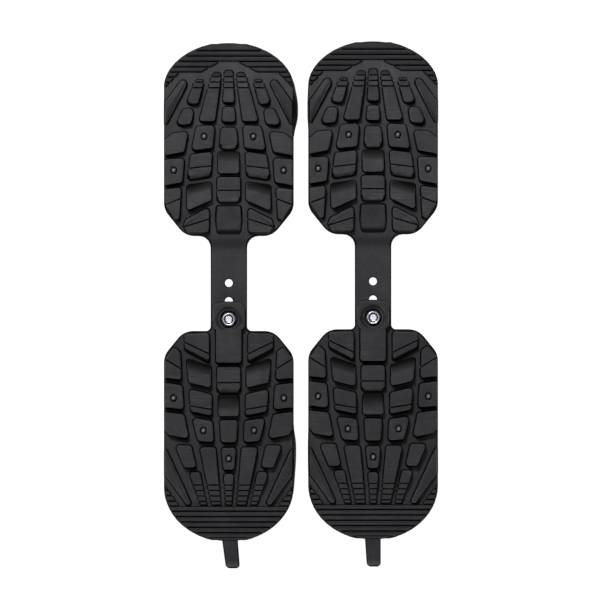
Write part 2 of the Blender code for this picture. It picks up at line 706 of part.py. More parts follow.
def attach(item, parent, place=(0.0, 0.0)):
    item.parent = parent
    item.location = (place[0] * MM, place[1] * MM, 0.0)


def attach_section(section, parent, place=(0.0, 0.0)):
    """A section's Boolean shapes move with it."""
    attach(section, parent, place)
    for modifier in section.modifiers:
        attach(modifier.object, section)


def make_studs(prefix, places, parent, offset, material):
    first = stud_mesh_object(f"{prefix}_1", material)
    for number, (x, y) in enumerate(places, start=1):
        stud = first if number == 1 else bpy.data.objects.new(f"{prefix}_{number}", first.data)
        if number > 1:
            bpy.context.collection.objects.link(stud)
        attach(stud, parent, (x + offset[0], y + offset[1]))


def make_cleat(side, materials):
    """One cleat: an empty at its zero, and a second empty on the bolt's axis that carries the heel half."""
    cleat = make_empty(f"{side}_cleat", None, CLEAT_PLACES[side])
    heel_half = make_empty(f"{side}_heel_half", cleat, (0.0, BOLT_Y))
    from_bolt = (0.0, -BOLT_Y)

    attach_section(toe_section(side, materials["rubber"]), cleat)
    attach_section(heel_section(side, materials["rubber"]), heel_half, from_bolt)
    make_studs(f"{side}_toe_stud", TOE_STUDS, cleat, (0.0, 0.0), materials["stud_steel"])
    make_studs(f"{side}_heel_stud", HEEL_STUDS, heel_half, from_bolt, materials["stud_steel"])

    bolt_item, recess = bolt(f"{side}_bolt", materials["zinc_steel"])
    attach(bolt_item, heel_half)
    attach(recess, bolt_item)
    nut_item, nut_cutters = lock_nut(f"{side}_lock_nut", materials["zinc_steel"])
    attach(nut_item, heel_half)
    for cutter in nut_cutters:
        attach(cutter, nut_item)
    attach(nut_insert(f"{side}_nut_insert", materials["blue_nylon"]), heel_half)
    attach(washer(f"{side}_washer", materials["zinc_steel"]), heel_half)


def main():
    clear_scene()
    materials = {name: make_material(name) for name in MATERIALS}
    for side in CLEAT_PLACES:
        make_cleat(side, materials)


main()
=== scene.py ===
"""The looks of a pair of shoe ice cleats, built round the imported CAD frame.

Shapes are drawn in millimetres round each cleat's own middle line, with +y towards the toe and
+z out of the tread. They move to their cleat's place, read from the frame, when a mesh is made.
"""

import math

import bmesh
import bpy
from mathutils import Matrix, Vector


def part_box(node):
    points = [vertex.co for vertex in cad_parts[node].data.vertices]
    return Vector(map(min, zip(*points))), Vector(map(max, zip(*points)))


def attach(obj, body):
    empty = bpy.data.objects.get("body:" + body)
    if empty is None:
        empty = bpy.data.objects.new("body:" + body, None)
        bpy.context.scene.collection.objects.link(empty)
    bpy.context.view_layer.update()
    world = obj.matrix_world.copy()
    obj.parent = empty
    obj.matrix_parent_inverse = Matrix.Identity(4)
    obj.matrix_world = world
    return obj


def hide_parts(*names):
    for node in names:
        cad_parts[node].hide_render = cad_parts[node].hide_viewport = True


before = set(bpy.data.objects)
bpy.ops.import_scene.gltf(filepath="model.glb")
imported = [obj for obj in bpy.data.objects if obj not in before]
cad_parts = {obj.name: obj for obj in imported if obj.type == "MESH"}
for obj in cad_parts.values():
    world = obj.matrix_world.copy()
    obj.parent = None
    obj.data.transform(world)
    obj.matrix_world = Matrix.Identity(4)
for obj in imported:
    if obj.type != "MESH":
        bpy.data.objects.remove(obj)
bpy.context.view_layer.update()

MM = 0.001
SIDES = ("left", "right")

# ---- Sizes shared with the CAD, in millimetres ----
BOLT_Y = -8.6
HALF_WIDTH = 41.1
RIM_GROWTH = 0.2
PLATE_BOTTOM = 18.0
FLOOR = 23.0
TOP = 28.5
RIB_TOP = 24.9
STRAP_TOP = 21.0
STRAP_HALF_WIDTH = 11.4
STRAP_END_Y = -62.6
HOLE_PITCH = 11.5
HOLE_RADIUS = 2.75
STRAP_HOLE_RADIUS = 2.5
HOLES_Y = [14.4 - HOLE_PITCH * i for i in range(7)]
DISH_RADIUS = 8.3
CHANNEL_TOP = 21.3
CHANNEL_HALF_WIDTH = 11.8
CHANNEL_END_Y = -87.5

# A rounded end: where the straight side stops, its tip, and the power of the curve between. 2 is an ellipse.
TOE_ROUND = (140.0, 167.0, 1.8)
HEEL_ROUND = (-115.4, -149.7, 2.0)
SOLE_CORNER = 12.0

# The studs' places. One off the middle line has a twin at -x.
TOE_STUDS = [(15.6, 107.6), (34.9, 86.1)]
HEEL_STUDS = [(0.0, -97.0), (16.1, -79.1), (35.0, -58.5)]

# ---- Finish of the lugs: rounded top edges, flared feet, and the slits (cuts) across them ----
BEVEL = 0.7
CUT_BEVEL = 0.28
BEVEL_STEPS = 3
CORNER_STEPS = 4
CUT_WIDTH = 0.75
CUT_CORNER = 0.25
CUT_DRAFT = 0.03
FOOT_FLARE = 0.55
STUD_HOLE_RADIUS = 1.56

# A draft is how far a lug's wall spreads from top to foot on its toe, heel and side faces.
PLAIN_DRAFT = (0.4, 1.3, 0.4)
RAMP_DRAFT = (0.2, 0.4, 0.3)
BAR_DRAFT = (0.5, 0.5, 0.5)

# Half the angle of a corner that is too flat to be rounded.
NEARLY_STRAIGHT = math.radians(88)


def local_origin(side):
    """The cleat's zero in world metres: the washer's middle is on the bolt's axis."""
    low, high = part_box(f"{side}_washer")
    middle = (Vector(low) + Vector(high)) / 2
    return Vector((middle.x, middle.y - BOLT_Y * MM, 0.0))


ORIGIN = {side: local_origin(side) for side in SIDES}


# ---- Outlines ----

class Corner:
    """One corner of an outline. cut says that the edge that starts here is a slit's wall."""

    def __init__(self, at, radius, cut=False):
        self.at, self.radius, self.cut = Vector(at), radius, cut


def with_next(items):
    """Each item of a closed row, paired with the one after it."""
    return zip(items, items[1:] + items[:1])


def outline_of(points, radius):
    """Corners from (x, y) or (x, y, radius) points, turned to run counter-clockwise."""
    corners = [Corner(p[:2], p[2] if len(p) > 2 else radius) for p in points]
    area = sum(a.at.x * b.at.y - b.at.x * a.at.y for a, b in with_next(corners))
    return corners if area > 0 else corners[::-1]


def even_outline(points, between=()):
    """An outline from (x, y, radius) points on the +x side, the points between, and the first mirrored."""
    return outline_of([*points, *between, *[(-x, y, radius) for x, y, radius in points[::-1]]], 1.0)


def clipped(corners, point, keep_towards):
    """The part of an outline on one side of a line through point, at right angles to keep_towards."""
    kept = []
    for corner, following in with_next(corners):
        here = (corner.at - point).dot(keep_towards)
        ahead = (following.at - point).dot(keep_towards)
        if here >= 0:
            kept.append(corner)
        if (here >= 0) != (ahead >= 0):
            crossing = corner.at.lerp(following.at, here / (here - ahead))
            kept.append(Corner(crossing, CUT_CORNER, cut=here >= 0 or corner.cut))
    return kept


def cut_into_pieces(corners, cuts):
    """An outline divided by narrow gaps along lines, each a pair of (x, y) points."""
    pieces = [corners]
    for (ax, ay), (bx, by) in cuts:
        across = Vector((ay - by, bx - ax)).normalized()
        middle = Vector((ax, ay))
        divided = []
        for piece in pieces:
            for way in (1, -1):
                part = clipped(piece, middle + across * way * CUT_WIDTH / 2, across * way)
                if len(part) > 2:
                    divided.append(part)
        pieces = divided
    return pieces


def edge_normals(corners):
    """The outward direction of each edge of an outline."""
    normals = []
    for corner, following in with_next(corners):
        along = following.at - corner.at
        normals.append(Vector((along.y, -along.x)).normalized())
    return normals


def ring_of(corners, offsets, z, steps=CORNER_STEPS):
    """Points round an outline whose edges are moved outwards by offsets, with its corners rounded."""
    normals = edge_normals(corners)
    moved = []
    for i, corner in enumerate(corners):
        n1, n2 = normals[i - 1], normals[i]
        d1, d2 = offsets[i - 1], offsets[i]
        det = n1.x * n2.y - n1.y * n2.x
        if abs(det) < 0.05:
            moved.append(corner.at + (n1 + n2).normalized() * (d1 + d2) / 2)
        else:
            moved.append(corner.at + Vector(((d1 * n2.y - d2 * n1.y) / det, (n1.x * d2 - n2.x * d1) / det)))
    points = []
    for i, corner in enumerate(corners):
        after = moved[(i + 1) % len(moved)]
        grown = (offsets[i - 1] + offsets[i]) / 2
        points += corner_arc(moved[i - 1], moved[i], after, max(0.08, corner.radius + grown), steps)
    return [(p.x, p.y, z) for p in points]


def level_rings(corners, levels, steps):
    """Rings of an outline at (offset, z) levels, each the whole outline moved outwards by its offset."""
    return [ring_of(corners, [offset] * len(corners), z, steps) for offset, z in levels]


def corner_arc(before, here, after, radius, steps):
    """The points of one rounded corner, always steps + 1 of them."""
    back, ahead = before - here, after - here
    half_angle = back.angle(ahead) / 2
    if half_angle > NEARLY_STRAIGHT:
        shares = [2 * k / steps - 1 for k in range(steps + 1)]
        return [here + (ahead if share >= 0 else back).normalized() * abs(share) * 0.02 for share in shares]
    reach = min(radius / math.tan(half_angle), back.length * 0.46, ahead.length * 0.46)
    radius = reach * math.tan(half_angle)
    middle = here + (back.normalized() + ahead.normalized()).normalized() * radius / math.sin(half_angle)
    start = here + back.normalized() * reach - middle
    end = here + ahead.normalized() * reach - middle
    turn = math.atan2(start.x * end.y - start.y * end.x, start.dot(end))
    return [middle + Matrix.Rotation(turn * k / steps, 2) @ start for k in range(steps + 1)]


def rounding_steps(count):
    """A rounded edge from its wall up to its top, as shares (inwards, upwards) of its size."""
    angles = [math.pi / 2 * k / count for k in range(count + 1)]
    return [(1 - math.cos(angle), math.sin(angle)) for angle in angles]


def smooth_share(value, start, end):
    """0 up to start and 1 from end on, with an even S-curve between."""
    share = min(1.0, max(0.0, (value - start) / (end - start)))
    return share * share * (3 - 2 * share)


def end_half_width(y, rounding):
    straight_y, tip_y, power = rounding
    share = max(0.0, (y - straight_y) / (tip_y - straight_y))
    return HALF_WIDTH * math.sqrt(max(0.0, 1 - share ** power))


def end_point(angle, rounding):
    """A point of a rounded end's curve: on the +x side at angle 0, at the tip at a quarter turn."""
    straight_y, tip_y, power = rounding
    rise = max(0.0, math.sin(angle)) ** (2 / power)
    return HALF_WIDTH * math.cos(angle), straight_y + (tip_y - straight_y) * rise


# ---- Mesh helpers ----

def join(bm, row, following):
    """A band of faces between two closed rows of vertices."""
    for (a, b), (c, d) in zip(with_next(row), with_next(following)):
        bm.faces.new((a, b, d, c))


def skin(bm, rings, closed_ends=(True, True)):
    """Join closed rings of 3-D points with faces, and cap the ends that are closed."""
    rows = [[bm.verts.new(point) for point in ring] for ring in rings]
    for row, following in zip(rows, rows[1:]):
        join(bm, row, following)
    if closed_ends[0]:
        bm.faces.new(rows[0][::-1])
    if closed_ends[1]:
        bm.faces.new(rows[-1])
    return rows


def body_of(rings):
    """One closed body through rings of points."""
    bm = bmesh.new()
    skin(bm, rings)
    return bm


def closed_ring(rings):
    """A ring-shaped body: closed rings of points joined with faces, the last to the first as well."""
    bm = bmesh.new()
    rows = skin(bm, rings, (False, False))
    join(bm, rows[-1], rows[0])
    return bm


def fill_between(bm, outer, holes):
    """A flat face region bounded by one row of vertices, with other rows cut out of it."""
    edges = []
    for row in [outer] + holes:
        for pair in with_next(row):
            edges.append(bm.edges.get(pair) or bm.edges.new(pair))
    bmesh.ops.triangle_fill(bm, use_beauty=True, use_dissolve=False, edges=edges)


def fold(bm, point, across):
    """Cut bm's faces along an upright plane through point. Gives the new vertices and edges."""
    everything = bm.verts[:] + bm.edges[:] + bm.faces[:]
    found = bmesh.ops.bisect_plane(bm, geom=everything, plane_co=(*point, 0), plane_no=(*across, 0))
    return found["geom_cut"]


def circle(centre, radius, z, steps):
    angles = [2 * math.pi * i / steps for i in range(steps)]
    return [Vector((centre[0] + radius * math.cos(a), centre[1] + radius * math.sin(a), z)) for a in angles]


def turned(bm, profile, centre, steps, closed_ends=(True, True)):
    return skin(bm, [circle(centre, radius, z, steps) for radius, z in profile], closed_ends)


def mirrored_in_x(bm):
    twin = bm.copy()
    bmesh.ops.scale(twin, vec=(-1, 1, 1), verts=twin.verts)
    bmesh.ops.reverse_faces(twin, faces=twin.faces)
    return twin


def add_all(target, *parts):
    """Put copies of other bmeshes into target, and free them."""
    for part in parts:
        mesh = bpy.data.meshes.new("part")
        part.to_mesh(mesh)
        part.free()
        target.from_mesh(mesh)
        bpy.data.meshes.remove(mesh)


def make_piece(name, bm, origin, materials):
    """A finished mesh object at its cleat's place."""
    bmesh.ops.scale(bm, vec=(MM, MM, MM), verts=bm.verts)
    bmesh.ops.translate(bm, vec=origin, verts=bm.verts)
    bmesh.ops.recalc_face_normals(bm, faces=bm.faces)
    mesh = bpy.data.meshes.new(name)
    bm.to_mesh(mesh)
    bm.free()
    for material in materials:
        mesh.materials.append(material)
    item = bpy.data.objects.new(name, mesh)
    bpy.context.collection.objects.link(item)
    mesh.shade_smooth()
    weighted = item.modifiers.new("even_shading", "WEIGHTED_NORMAL")
    weighted.keep_sharp = True
    weighted.weight = 80
    return item


# ---- Lugs ----

class Lug:
    """One block of the tread, drawn on the +x side.

    heights is a list of (s, z) along s = y + skew * x, from heel side to toe side. height_at, a function
    of x and y, takes its place on the bars. creases are more fold lines, each a point and a direction.
    A lug that doesn't reach over the middle line has a twin, its mirrored copy on the -x side.
    """

    def __init__(self, points, heights=((0.0, TOP),), skew=0.0, radius=1.7, draft=PLAIN_DRAFT, cuts=(),
                 stud=None, creases=(), height_at=None):
        self.corners = outline_of(points, radius)
        self.heights, self.skew, self.draft, self.cuts = heights, skew, draft, cuts
        self.stud, self.creases, self.height_at = stud, creases, height_at
        self.twin = min(x for x, *_ in points) > 0

    def top_at(self, x, y):
        if self.height_at:
            return self.height_at(x, y)
        s = y + self.skew * x
        if s <= self.heights[0][0]:
            return self.heights[0][1]
        for (s0, z0), (s1, z1) in zip(self.heights, self.heights[1:]):
            if s <= s1:
                return z0 + (z1 - z0) * (s - s0) / (s1 - s0)
        return self.heights[-1][1]

    def fold_lines(self):
        """Each line where the top changes slope, as a point and a direction across it."""
        across = Vector((self.skew, 1.0)).normalized()
        lines = [(Vector((0.0, s)), across) for s, _ in self.heights[1:-1]]
        return lines + [(Vector(point), Vector(direction)) for point, direction in self.creases]


def edge_spread(lug, corners):
    """How far each edge's wall spreads at its foot."""
    toe, heel, side = lug.draft
    spread = []
    for corner, normal in zip(corners, edge_normals(corners)):
        if corner.cut:
            spread.append(CUT_DRAFT)
        else:
            spread.append((toe if normal.y > 0 else heel) * normal.y ** 2 + side * normal.x ** 2)
    return spread


def stud_hole(centre, radius, z):
    """One level of a stud's hole: round, with its wide mouth pulled out to a point on the heel side."""
    reach = 1.9 * (radius - STUD_HOLE_RADIUS)
    ring = circle(centre, radius, z, 20)
    return [(x, y - reach * max(0.0, (centre[1] - y) / radius) ** 4, z) for x, y, z in ring]


def lug_body(lug, corners):
    """One closed body: a flared foot, drafted walls and a bevelled top, at full height."""
    height = TOP - FLOOR
    spread = edge_spread(lug, corners)
    bevels = [CUT_BEVEL if c.cut else BEVEL for c in corners]
    flares = [0.0 if c.cut else FOOT_FLARE for c in corners]
    levels = [(-0.9, 1.0, 1.0), (-0.1, 1.0, 1.0), (0.12, 1.0, 0.55), (0.45, 0.95, 0.12), (0.9, 0.88, 0.0)]
    rings = []
    for z, wall_share, flare_share in levels:
        offsets = [s * wall_share + f * flare_share for s, f in zip(spread, flares)]
        rings.append(ring_of(corners, offsets, FLOOR + z))
    for inwards, upwards in rounding_steps(BEVEL_STEPS):
        offsets = [-b * inwards for b in bevels]
        z = height - BEVEL + BEVEL * upwards
        rings.append(ring_of(corners, offsets, FLOOR + z))
    rings.append(ring_of(corners, [-b - 0.22 for b in bevels], FLOOR + height))
    if lug.stud is None:
        return body_of(rings)
    bm = bmesh.new()
    rows = skin(bm, rings, closed_ends=(True, False))
    hole = [(2.35, height), (2.22, height - 0.5), (2.05, height - 1.2), (1.7, height - 2.2),
            (STUD_HOLE_RADIUS, height - 3.4)]
    hole_rows = skin(bm, [stud_hole(lug.stud, radius, FLOOR + z) for radius, z in hole], (False, True))
    fill_between(bm, rows[-1], [hole_rows[0]])
    return bm


def shape_top(bm, lug):
    """Fold the flat-topped body along its crease lines, then bring its top to the lug's own heights."""
    height = TOP - FLOOR
    for point, across in lug.fold_lines():
        for edge in fold(bm, point, across):
            if isinstance(edge, bmesh.types.BMEdge) and min(v.co.z for v in edge.verts) > TOP - BEVEL * 0.2:
                edge.smooth = False
    for vert in bm.verts:
        z = vert.co.z - FLOOR
        if z <= 0:
            continue
        own = max(0.06, lug.top_at(vert.co.x, vert.co.y) - FLOOR)
        edge = min(BEVEL, own * 0.5)
        if z > height - BEVEL:
            z = own - edge * (height - z) / BEVEL
        else:
            z = z * (own - edge) / (height - BEVEL)
        vert.co.z = FLOOR + z


def lug_mesh(lug):
    whole = bmesh.new()
    for corners in cut_into_pieces(lug.corners, lug.cuts):
        body = lug_body(lug, corners)
        shape_top(body, lug)
        add_all(whole, body)
    if lug.twin:
        add_all(whole, mirrored_in_x(whole))
    return whole


def slit_across(y):
    """A slit straight across the tread."""
    return (-60.0, y), (60.0, y)


def tapered(half_at_toe, toe_y, half_at_heel, heel_y):
    """The four corners of a lug on the middle line."""
    return [(-half_at_toe, toe_y), (half_at_toe, toe_y), (half_at_heel, heel_y), (-half_at_heel, heel_y)]


FINGER_SLITS = [slit_across(y) for y in (145.5, 142.0, 138.4)]
HEEL_SLITS = [slit_across(y) for y in (-113.9, -117.4, -120.9, -124.4)]


def bar_height(ridge_start, ridge_end):
    """A roof shape: highest along a ridge, and steeper on its inner side."""
    start, end = Vector(ridge_start), Vector(ridge_end)
    normal = Vector((end.y - start.y, start.x - end.x)).normalized()

    def height_at(x, y):
        away = (Vector((x, y)) - start).dot(normal)
        return TOP - 0.6 - abs(away) * (0.5 if away > 0 else 0.32)

    return height_at, (ridge_start, tuple(normal))


def toe_lugs():
    ridge, ridge_line = bar_height((27.6, 142.6), (39.2, 124.4))
    middle = [
        Lug([(-2.6, 149.8, 2.4), (2.6, 149.8, 2.4), (3.6, 129.3), (-3.6, 129.3)],
            [(129, 28.5), (137.8, 28.4), (145.5, 26.6), (150, 24.6)], cuts=FINGER_SLITS),
        Lug(tapered(3.6, 126.1, 4.3, 117.0)),
        Lug(tapered(4.8, 113.0, 5.8, 101.7), radius=2.2, draft=(0.5, 3.2, 0.4)),
        Lug(tapered(6.7, 97.9, 6.7, 84.1), [(84.1, 28.5), (92.0, 27.6), (97.9, 24.6)],
            draft=RAMP_DRAFT),
        Lug(tapered(7.3, 81.6, 7.3, 68.3), cuts=[slit_across(73.2)], draft=(0.5, 3.6, 0.35)),
        Lug([(-7.9, 63.9), (7.9, 63.9), (8.3, 54.0, 6.0), (6.9, 45.6), (-6.9, 45.6), (-8.3, 54.0, 6.0)],
            [(45.4, 23.3), (49.6, 26.2), (63.9, 23.8)], draft=(0.2, 0.2, 0.3)),
    ]
    fingers = [
        Lug([(4.9, 145.2), (5.5, 148.2), (9.0, 148.5), (11.1, 145.4), (18.8, 117.3), (8.8, 117.3)],
            [(117, 28.5), (137.8, 28.4), (145.5, 26.4), (148, 24.8)], cuts=FINGER_SLITS),
        Lug([(16.1, 141.2), (16.8, 143.6), (20.4, 143.8), (22.2, 141.0), (26.8, 128.6, 2.6),
             (19.6, 128.3, 2.2)], [(128, 28.5), (137.8, 28.3), (143.4, 25.6)], cuts=FINGER_SLITS),
        Lug([(22.2, 125.3), (28.9, 125.0), (33.7, 114.7), (23.8, 115.6)], radius=2.5),
    ]
    bar = Lug([(26.4, 141.0), (28.2, 143.4), (30.7, 142.6), (40.1, 129.5, 0.8), (40.1, 115.9, 0.5),
               (39.2, 115.9, 0.5)], radius=2.0, draft=(0.6, 0.5, 0.5), height_at=ridge, creases=[ridge_line])
    blocks = [
        Lug([(8.9, 114.5), (20.6, 114.0), (23.5, 98.8), (10.2, 100.3)], radius=2.0, stud=TOE_STUDS[0]),
        Lug([(25.7, 110.7), (35.6, 109.5), (40.3, 105.5, 0.8), (40.3, 95.6, 0.8), (28.4, 97.9)],
            [(96, 28.1), (103.6, 28.5), (111, 28.15)], skew=0.16, radius=2.0),
        Lug([(28.3, 93.7), (40.3, 92.8, 0.8), (40.3, 76.6, 0.8), (29.5, 78.5)],
            radius=2.0, stud=TOE_STUDS[1]),
        Lug([(10.5, 97.7), (24.1, 95.9), (26.0, 81.9), (11.4, 84.2)], cuts=[((25.4, 87.2), (10.8, 88.8))],
            draft=(0.45, 2.7, 0.35)),
        Lug([(11.0, 78.7), (26.7, 76.6), (26.7, 60.1), (10.9, 67.2)],
            [(69.5, 28.5), (77.3, 27.6), (84.0, 23.9)], skew=0.29, draft=RAMP_DRAFT),
        Lug([(30.2, 75.1), (40.3, 73.7, 0.8), (39.9, 64.3, 0.8), (34.0, 55.0), (31.4, 55.3)],
            cuts=[((40.0, 64.3), (30.9, 67.7))]),
        Lug([(12.4, 62.4), (27.3, 54.7, 2.5), (28.6, 50.5), (26.0, 46.9), (12.6, 46.9)],
            cuts=[((28.3, 50.1), (12.7, 54.9))]),
    ]
    return middle + fingers + [bar] + blocks


def heel_lugs():
    ridge, ridge_line = bar_height((39.2, -97.0), (26.2, -124.4))
    middle = [
        Lug(tapered(8.1, -15.0, 8.1, -36.1), [(-36, 28.5), (-23.7, 28.5), (-15, 28.2)]),
        Lug(tapered(7.4, -39.0, 7.4, -53.4), cuts=[slit_across(-48.9)], draft=(0.5, 2.6, 0.35)),
        Lug(tapered(6.4, -56.4, 6.6, -70.1), [(-70.1, 28.5), (-56.4, 23.8)], draft=RAMP_DRAFT),
        Lug(tapered(5.7, -72.8, 4.8, -86.6)),
        Lug(tapered(4.7, -90.4, 3.4, -104.1), stud=HEEL_STUDS[0]),
        Lug(tapered(3.2, -106.9, 1.9, -126.2), [(-127, 25.4), (-113, 28.4), (-106, 28.5)],
            cuts=HEEL_SLITS),
    ]
    blocks = [
        Lug([(12.4, -17.6), (28.1, -18.2), (27.9, -26.9), (12.4, -34.9)],
            cuts=[((27.5, -23.4), (12.4, -30.7))], draft=(0.45, 2.2, 0.35)),
        Lug([(11.3, -38.6), (27.0, -33.2), (25.4, -48.7), (11.1, -52.1)],
            [(-55.5, 28.5), (-47.6, 27.5), (-41.2, 23.8)], skew=-0.28, draft=RAMP_DRAFT),
        Lug([(10.8, -56.5), (25.1, -53.0), (24.1, -66.9), (10.8, -69.6)],
            cuts=[((25.2, -63.6), (10.5, -65.9))]),
        Lug([(10.2, -73.3), (23.2, -71.4), (19.6, -85.7), (9.5, -86.6)], radius=2.0, stud=HEEL_STUDS[1]),
        Lug([(8.3, -90.0), (18.5, -90.1), (11.0, -126.2), (5.1, -126.2)],
            [(-127, 25.4), (-113, 28.4), (-90, 28.5)], cuts=HEEL_SLITS),
        Lug([(23.8, -88.8), (34.0, -88.8), (28.3, -102.7), (20.6, -102.7)], radius=1.9),
        Lug([(18.4, -105.7), (25.2, -105.9), (18.0, -126.2), (14.0, -126.2)],
            [(-127, 25.4), (-113, 28.4), (-105, 28.5)], cuts=HEEL_SLITS),
        Lug([(30.8, -29.5), (34.6, -26.3), (40.3, -34.2, 0.8), (40.3, -45.7, 0.8), (30.0, -46.9)],
            cuts=[((40.0, -34.2), (30.3, -40.1))]),
        Lug([(29.5, -50.7), (40.3, -49.1, 0.8), (40.3, -64.4, 0.8), (28.6, -65.8)],
            radius=2.0, stud=HEEL_STUDS[2]),
        Lug([(28.3, -69.2), (40.3, -67.6, 0.8), (40.3, -78.4, 0.8), (38.1, -81.9), (25.2, -84.4)],
            radius=2.0),
    ]
    bar = Lug([(40.3, -90.1, 0.5), (40.3, -107.9, 0.8), (26.7, -126.6), (23.8, -125.7)],
              radius=1.6, draft=BAR_DRAFT, height_at=ridge, creases=[ridge_line])
    return middle + blocks + [bar]


# ---- Ribs across the rounded ends ----

def rib(near_y, far_y, rounding, inner_of=None):
    """A low bar between two y values that follows the rounded end. With inner_of it stops there."""
    inset = 0.55
    ys = [near_y + (far_y - near_y) * i / 2 for i in range(3)]
    outer = [(end_half_width(y, rounding) - inset, y, 0.3) for y in ys]
    if inner_of is None:
        points = outer + [(-x, y, r) for x, y, r in outer][::-1]
    else:
        points = outer + [(inner_of(far_y), far_y, 0.5), (inner_of(near_y), near_y, 0.3)]
    return Lug(points, [(0.0, RIB_TOP)], radius=0.3, draft=(0.25, 0.25, 0.2))


def ribs_between(edges, gap, rounding, inner_of=None):
    return [rib(a - gap / 2, b + gap / 2, rounding, inner_of) for a, b in zip(edges, edges[1:])]


def toe_ribs():
    pitch, gap = 3.4, 0.62
    edges = [TOE_ROUND[1] - 0.9] + [162.1 - pitch * i for i in range(3)]

    def slant(y):
        if y > 148.5:
            return 6.3 + (154.9 - y) * 11.9 / 6.4
        return 31.4 + (148.5 - y) * 0.946

    side_edges = [155.3, 151.8, 148.5, 145.3, 142.0, 139.4]
    return ribs_between(edges, gap, TOE_ROUND) + ribs_between(side_edges, gap, TOE_ROUND, slant)


def heel_ribs():
    pitch, gap = 3.42, 0.72
    edges = [-127.4] + [-130.7 - pitch * i for i in range(6)] + [HEEL_ROUND[1] + 0.9]

    def slant(y):
        return 40.5 + (y + 114.6) * 9.3 / 12.8

    side_edges = [-115.0, -117.4, -120.8, -124.3, -127.4]
    return ribs_between(edges, gap, HEEL_ROUND) + ribs_between(side_edges, gap, HEEL_ROUND, slant)


# ---- Plates, strap, tongue ----

def rounded_end(rounding, steps=28):
    """Outline corners round one end, from the +x side over the tip to the -x side."""
    return [(*end_point(math.pi * i / steps, rounding), 60.0) for i in range(1, steps)]


def toe_outline():
    return even_outline([
        (STRAP_HALF_WIDTH, STRAP_END_Y, 11.0), (STRAP_HALF_WIDTH, 44.5, 9.6), (27.6, 44.5, SOLE_CORNER),
        (HALF_WIDTH, 61.2, SOLE_CORNER), (HALF_WIDTH, TOE_ROUND[0], 8.0),
    ], rounded_end(TOE_ROUND))


def heel_outline():
    return even_outline([
        (STRAP_HALF_WIDTH, -10.0, 0.5), (STRAP_HALF_WIDTH, -16.3, 3.2), (28.5, -16.3, SOLE_CORNER),
        (HALF_WIDTH, -31.8, SOLE_CORNER), (HALF_WIDTH, HEEL_ROUND[0], 8.0),
    ], rounded_end(HEEL_ROUND))


def slab(corners, hole_ys=()):
    """A plate with rounded rims, and the strap's holes on its middle line."""
    bottom, top = PLATE_BOTTOM, FLOOR
    edge, low_edge = 1.2, 0.48
    levels = [(RIM_GROWTH - low_edge * (1 - up), bottom + low_edge * inwards)
              for inwards, up in rounding_steps(3)]
    levels += [(RIM_GROWTH - edge * inwards, top - edge + edge * up) for inwards, up in rounding_steps(4)]
    bm = bmesh.new()
    rows = skin(bm, level_rings(corners, levels, 5), (False, False))
    radius, lip, depth = STRAP_HOLE_RADIUS, STRAP_HOLE_RADIUS + 0.55, 1.0
    profile = [(lip, bottom), (radius, bottom + depth), (radius, top - depth), (lip, top)]
    hole_rows = [turned(bm, profile, (0.0, y), 36, (False, False)) for y in hole_ys]
    fill_between(bm, rows[0], [h[0] for h in hole_rows])
    fill_between(bm, rows[-1], [h[-1] for h in hole_rows])
    return bm


def toe_plate():
    """The toe plate and strap in one: a slab whose top eases down from the plate to the strap."""
    bm = slab(toe_outline(), HOLES_Y)
    high_y, low_y = 46.0, 33.0
    steps = 12
    for i in range(steps + 1):
        fold(bm, (0, low_y + (high_y - low_y) * i / steps), (0, 1))
    for vert in bm.verts:
        share = smooth_share(vert.co.y, low_y, high_y)
        top = STRAP_TOP + (FLOOR - STRAP_TOP) * share
        from_bottom = (vert.co.z - PLATE_BOTTOM) / (FLOOR - PLATE_BOTTOM)
        vert.co.z = PLATE_BOTTOM + from_bottom * (top - PLATE_BOTTOM)
    return bm


def cut_by(bm, cutter):
    """bm with another bmesh cut out of it, by Blender's exact Boolean."""
    objects = []
    for part in (bm, cutter):
        mesh = bpy.data.meshes.new("part")
        part.to_mesh(mesh)
        part.free()
        objects.append(bpy.data.objects.new("part", mesh))
        bpy.context.collection.objects.link(objects[-1])
    modifier = objects[0].modifiers.new("cut", "BOOLEAN")
    modifier.operation = "DIFFERENCE"
    modifier.object = objects[1]
    bpy.context.view_layer.update()
    shaped = objects[0].evaluated_get(bpy.context.evaluated_depsgraph_get())
    result = bmesh.new()
    result.from_mesh(shaped.to_mesh())
    shaped.to_mesh_clear()
    for item in objects:
        mesh = item.data
        bpy.data.objects.remove(item)
        bpy.data.meshes.remove(mesh)
    return result


def heel_plate():
    """The heel plate, with the strap's channel in its shoe side."""
    plate = slab(heel_outline())
    channel = even_outline([(CHANNEL_HALF_WIDTH, 8.0, 0.3), (CHANNEL_HALF_WIDTH, CHANNEL_END_Y, 6.0)])
    levels = [(0.9, PLATE_BOTTOM - 1), (0.0, PLATE_BOTTOM + 0.4)]
    levels += [(0.0, CHANNEL_TOP - 0.5), (-0.5, CHANNEL_TOP)]
    return cut_by(plate, body_of(level_rings(channel, levels, 6)))


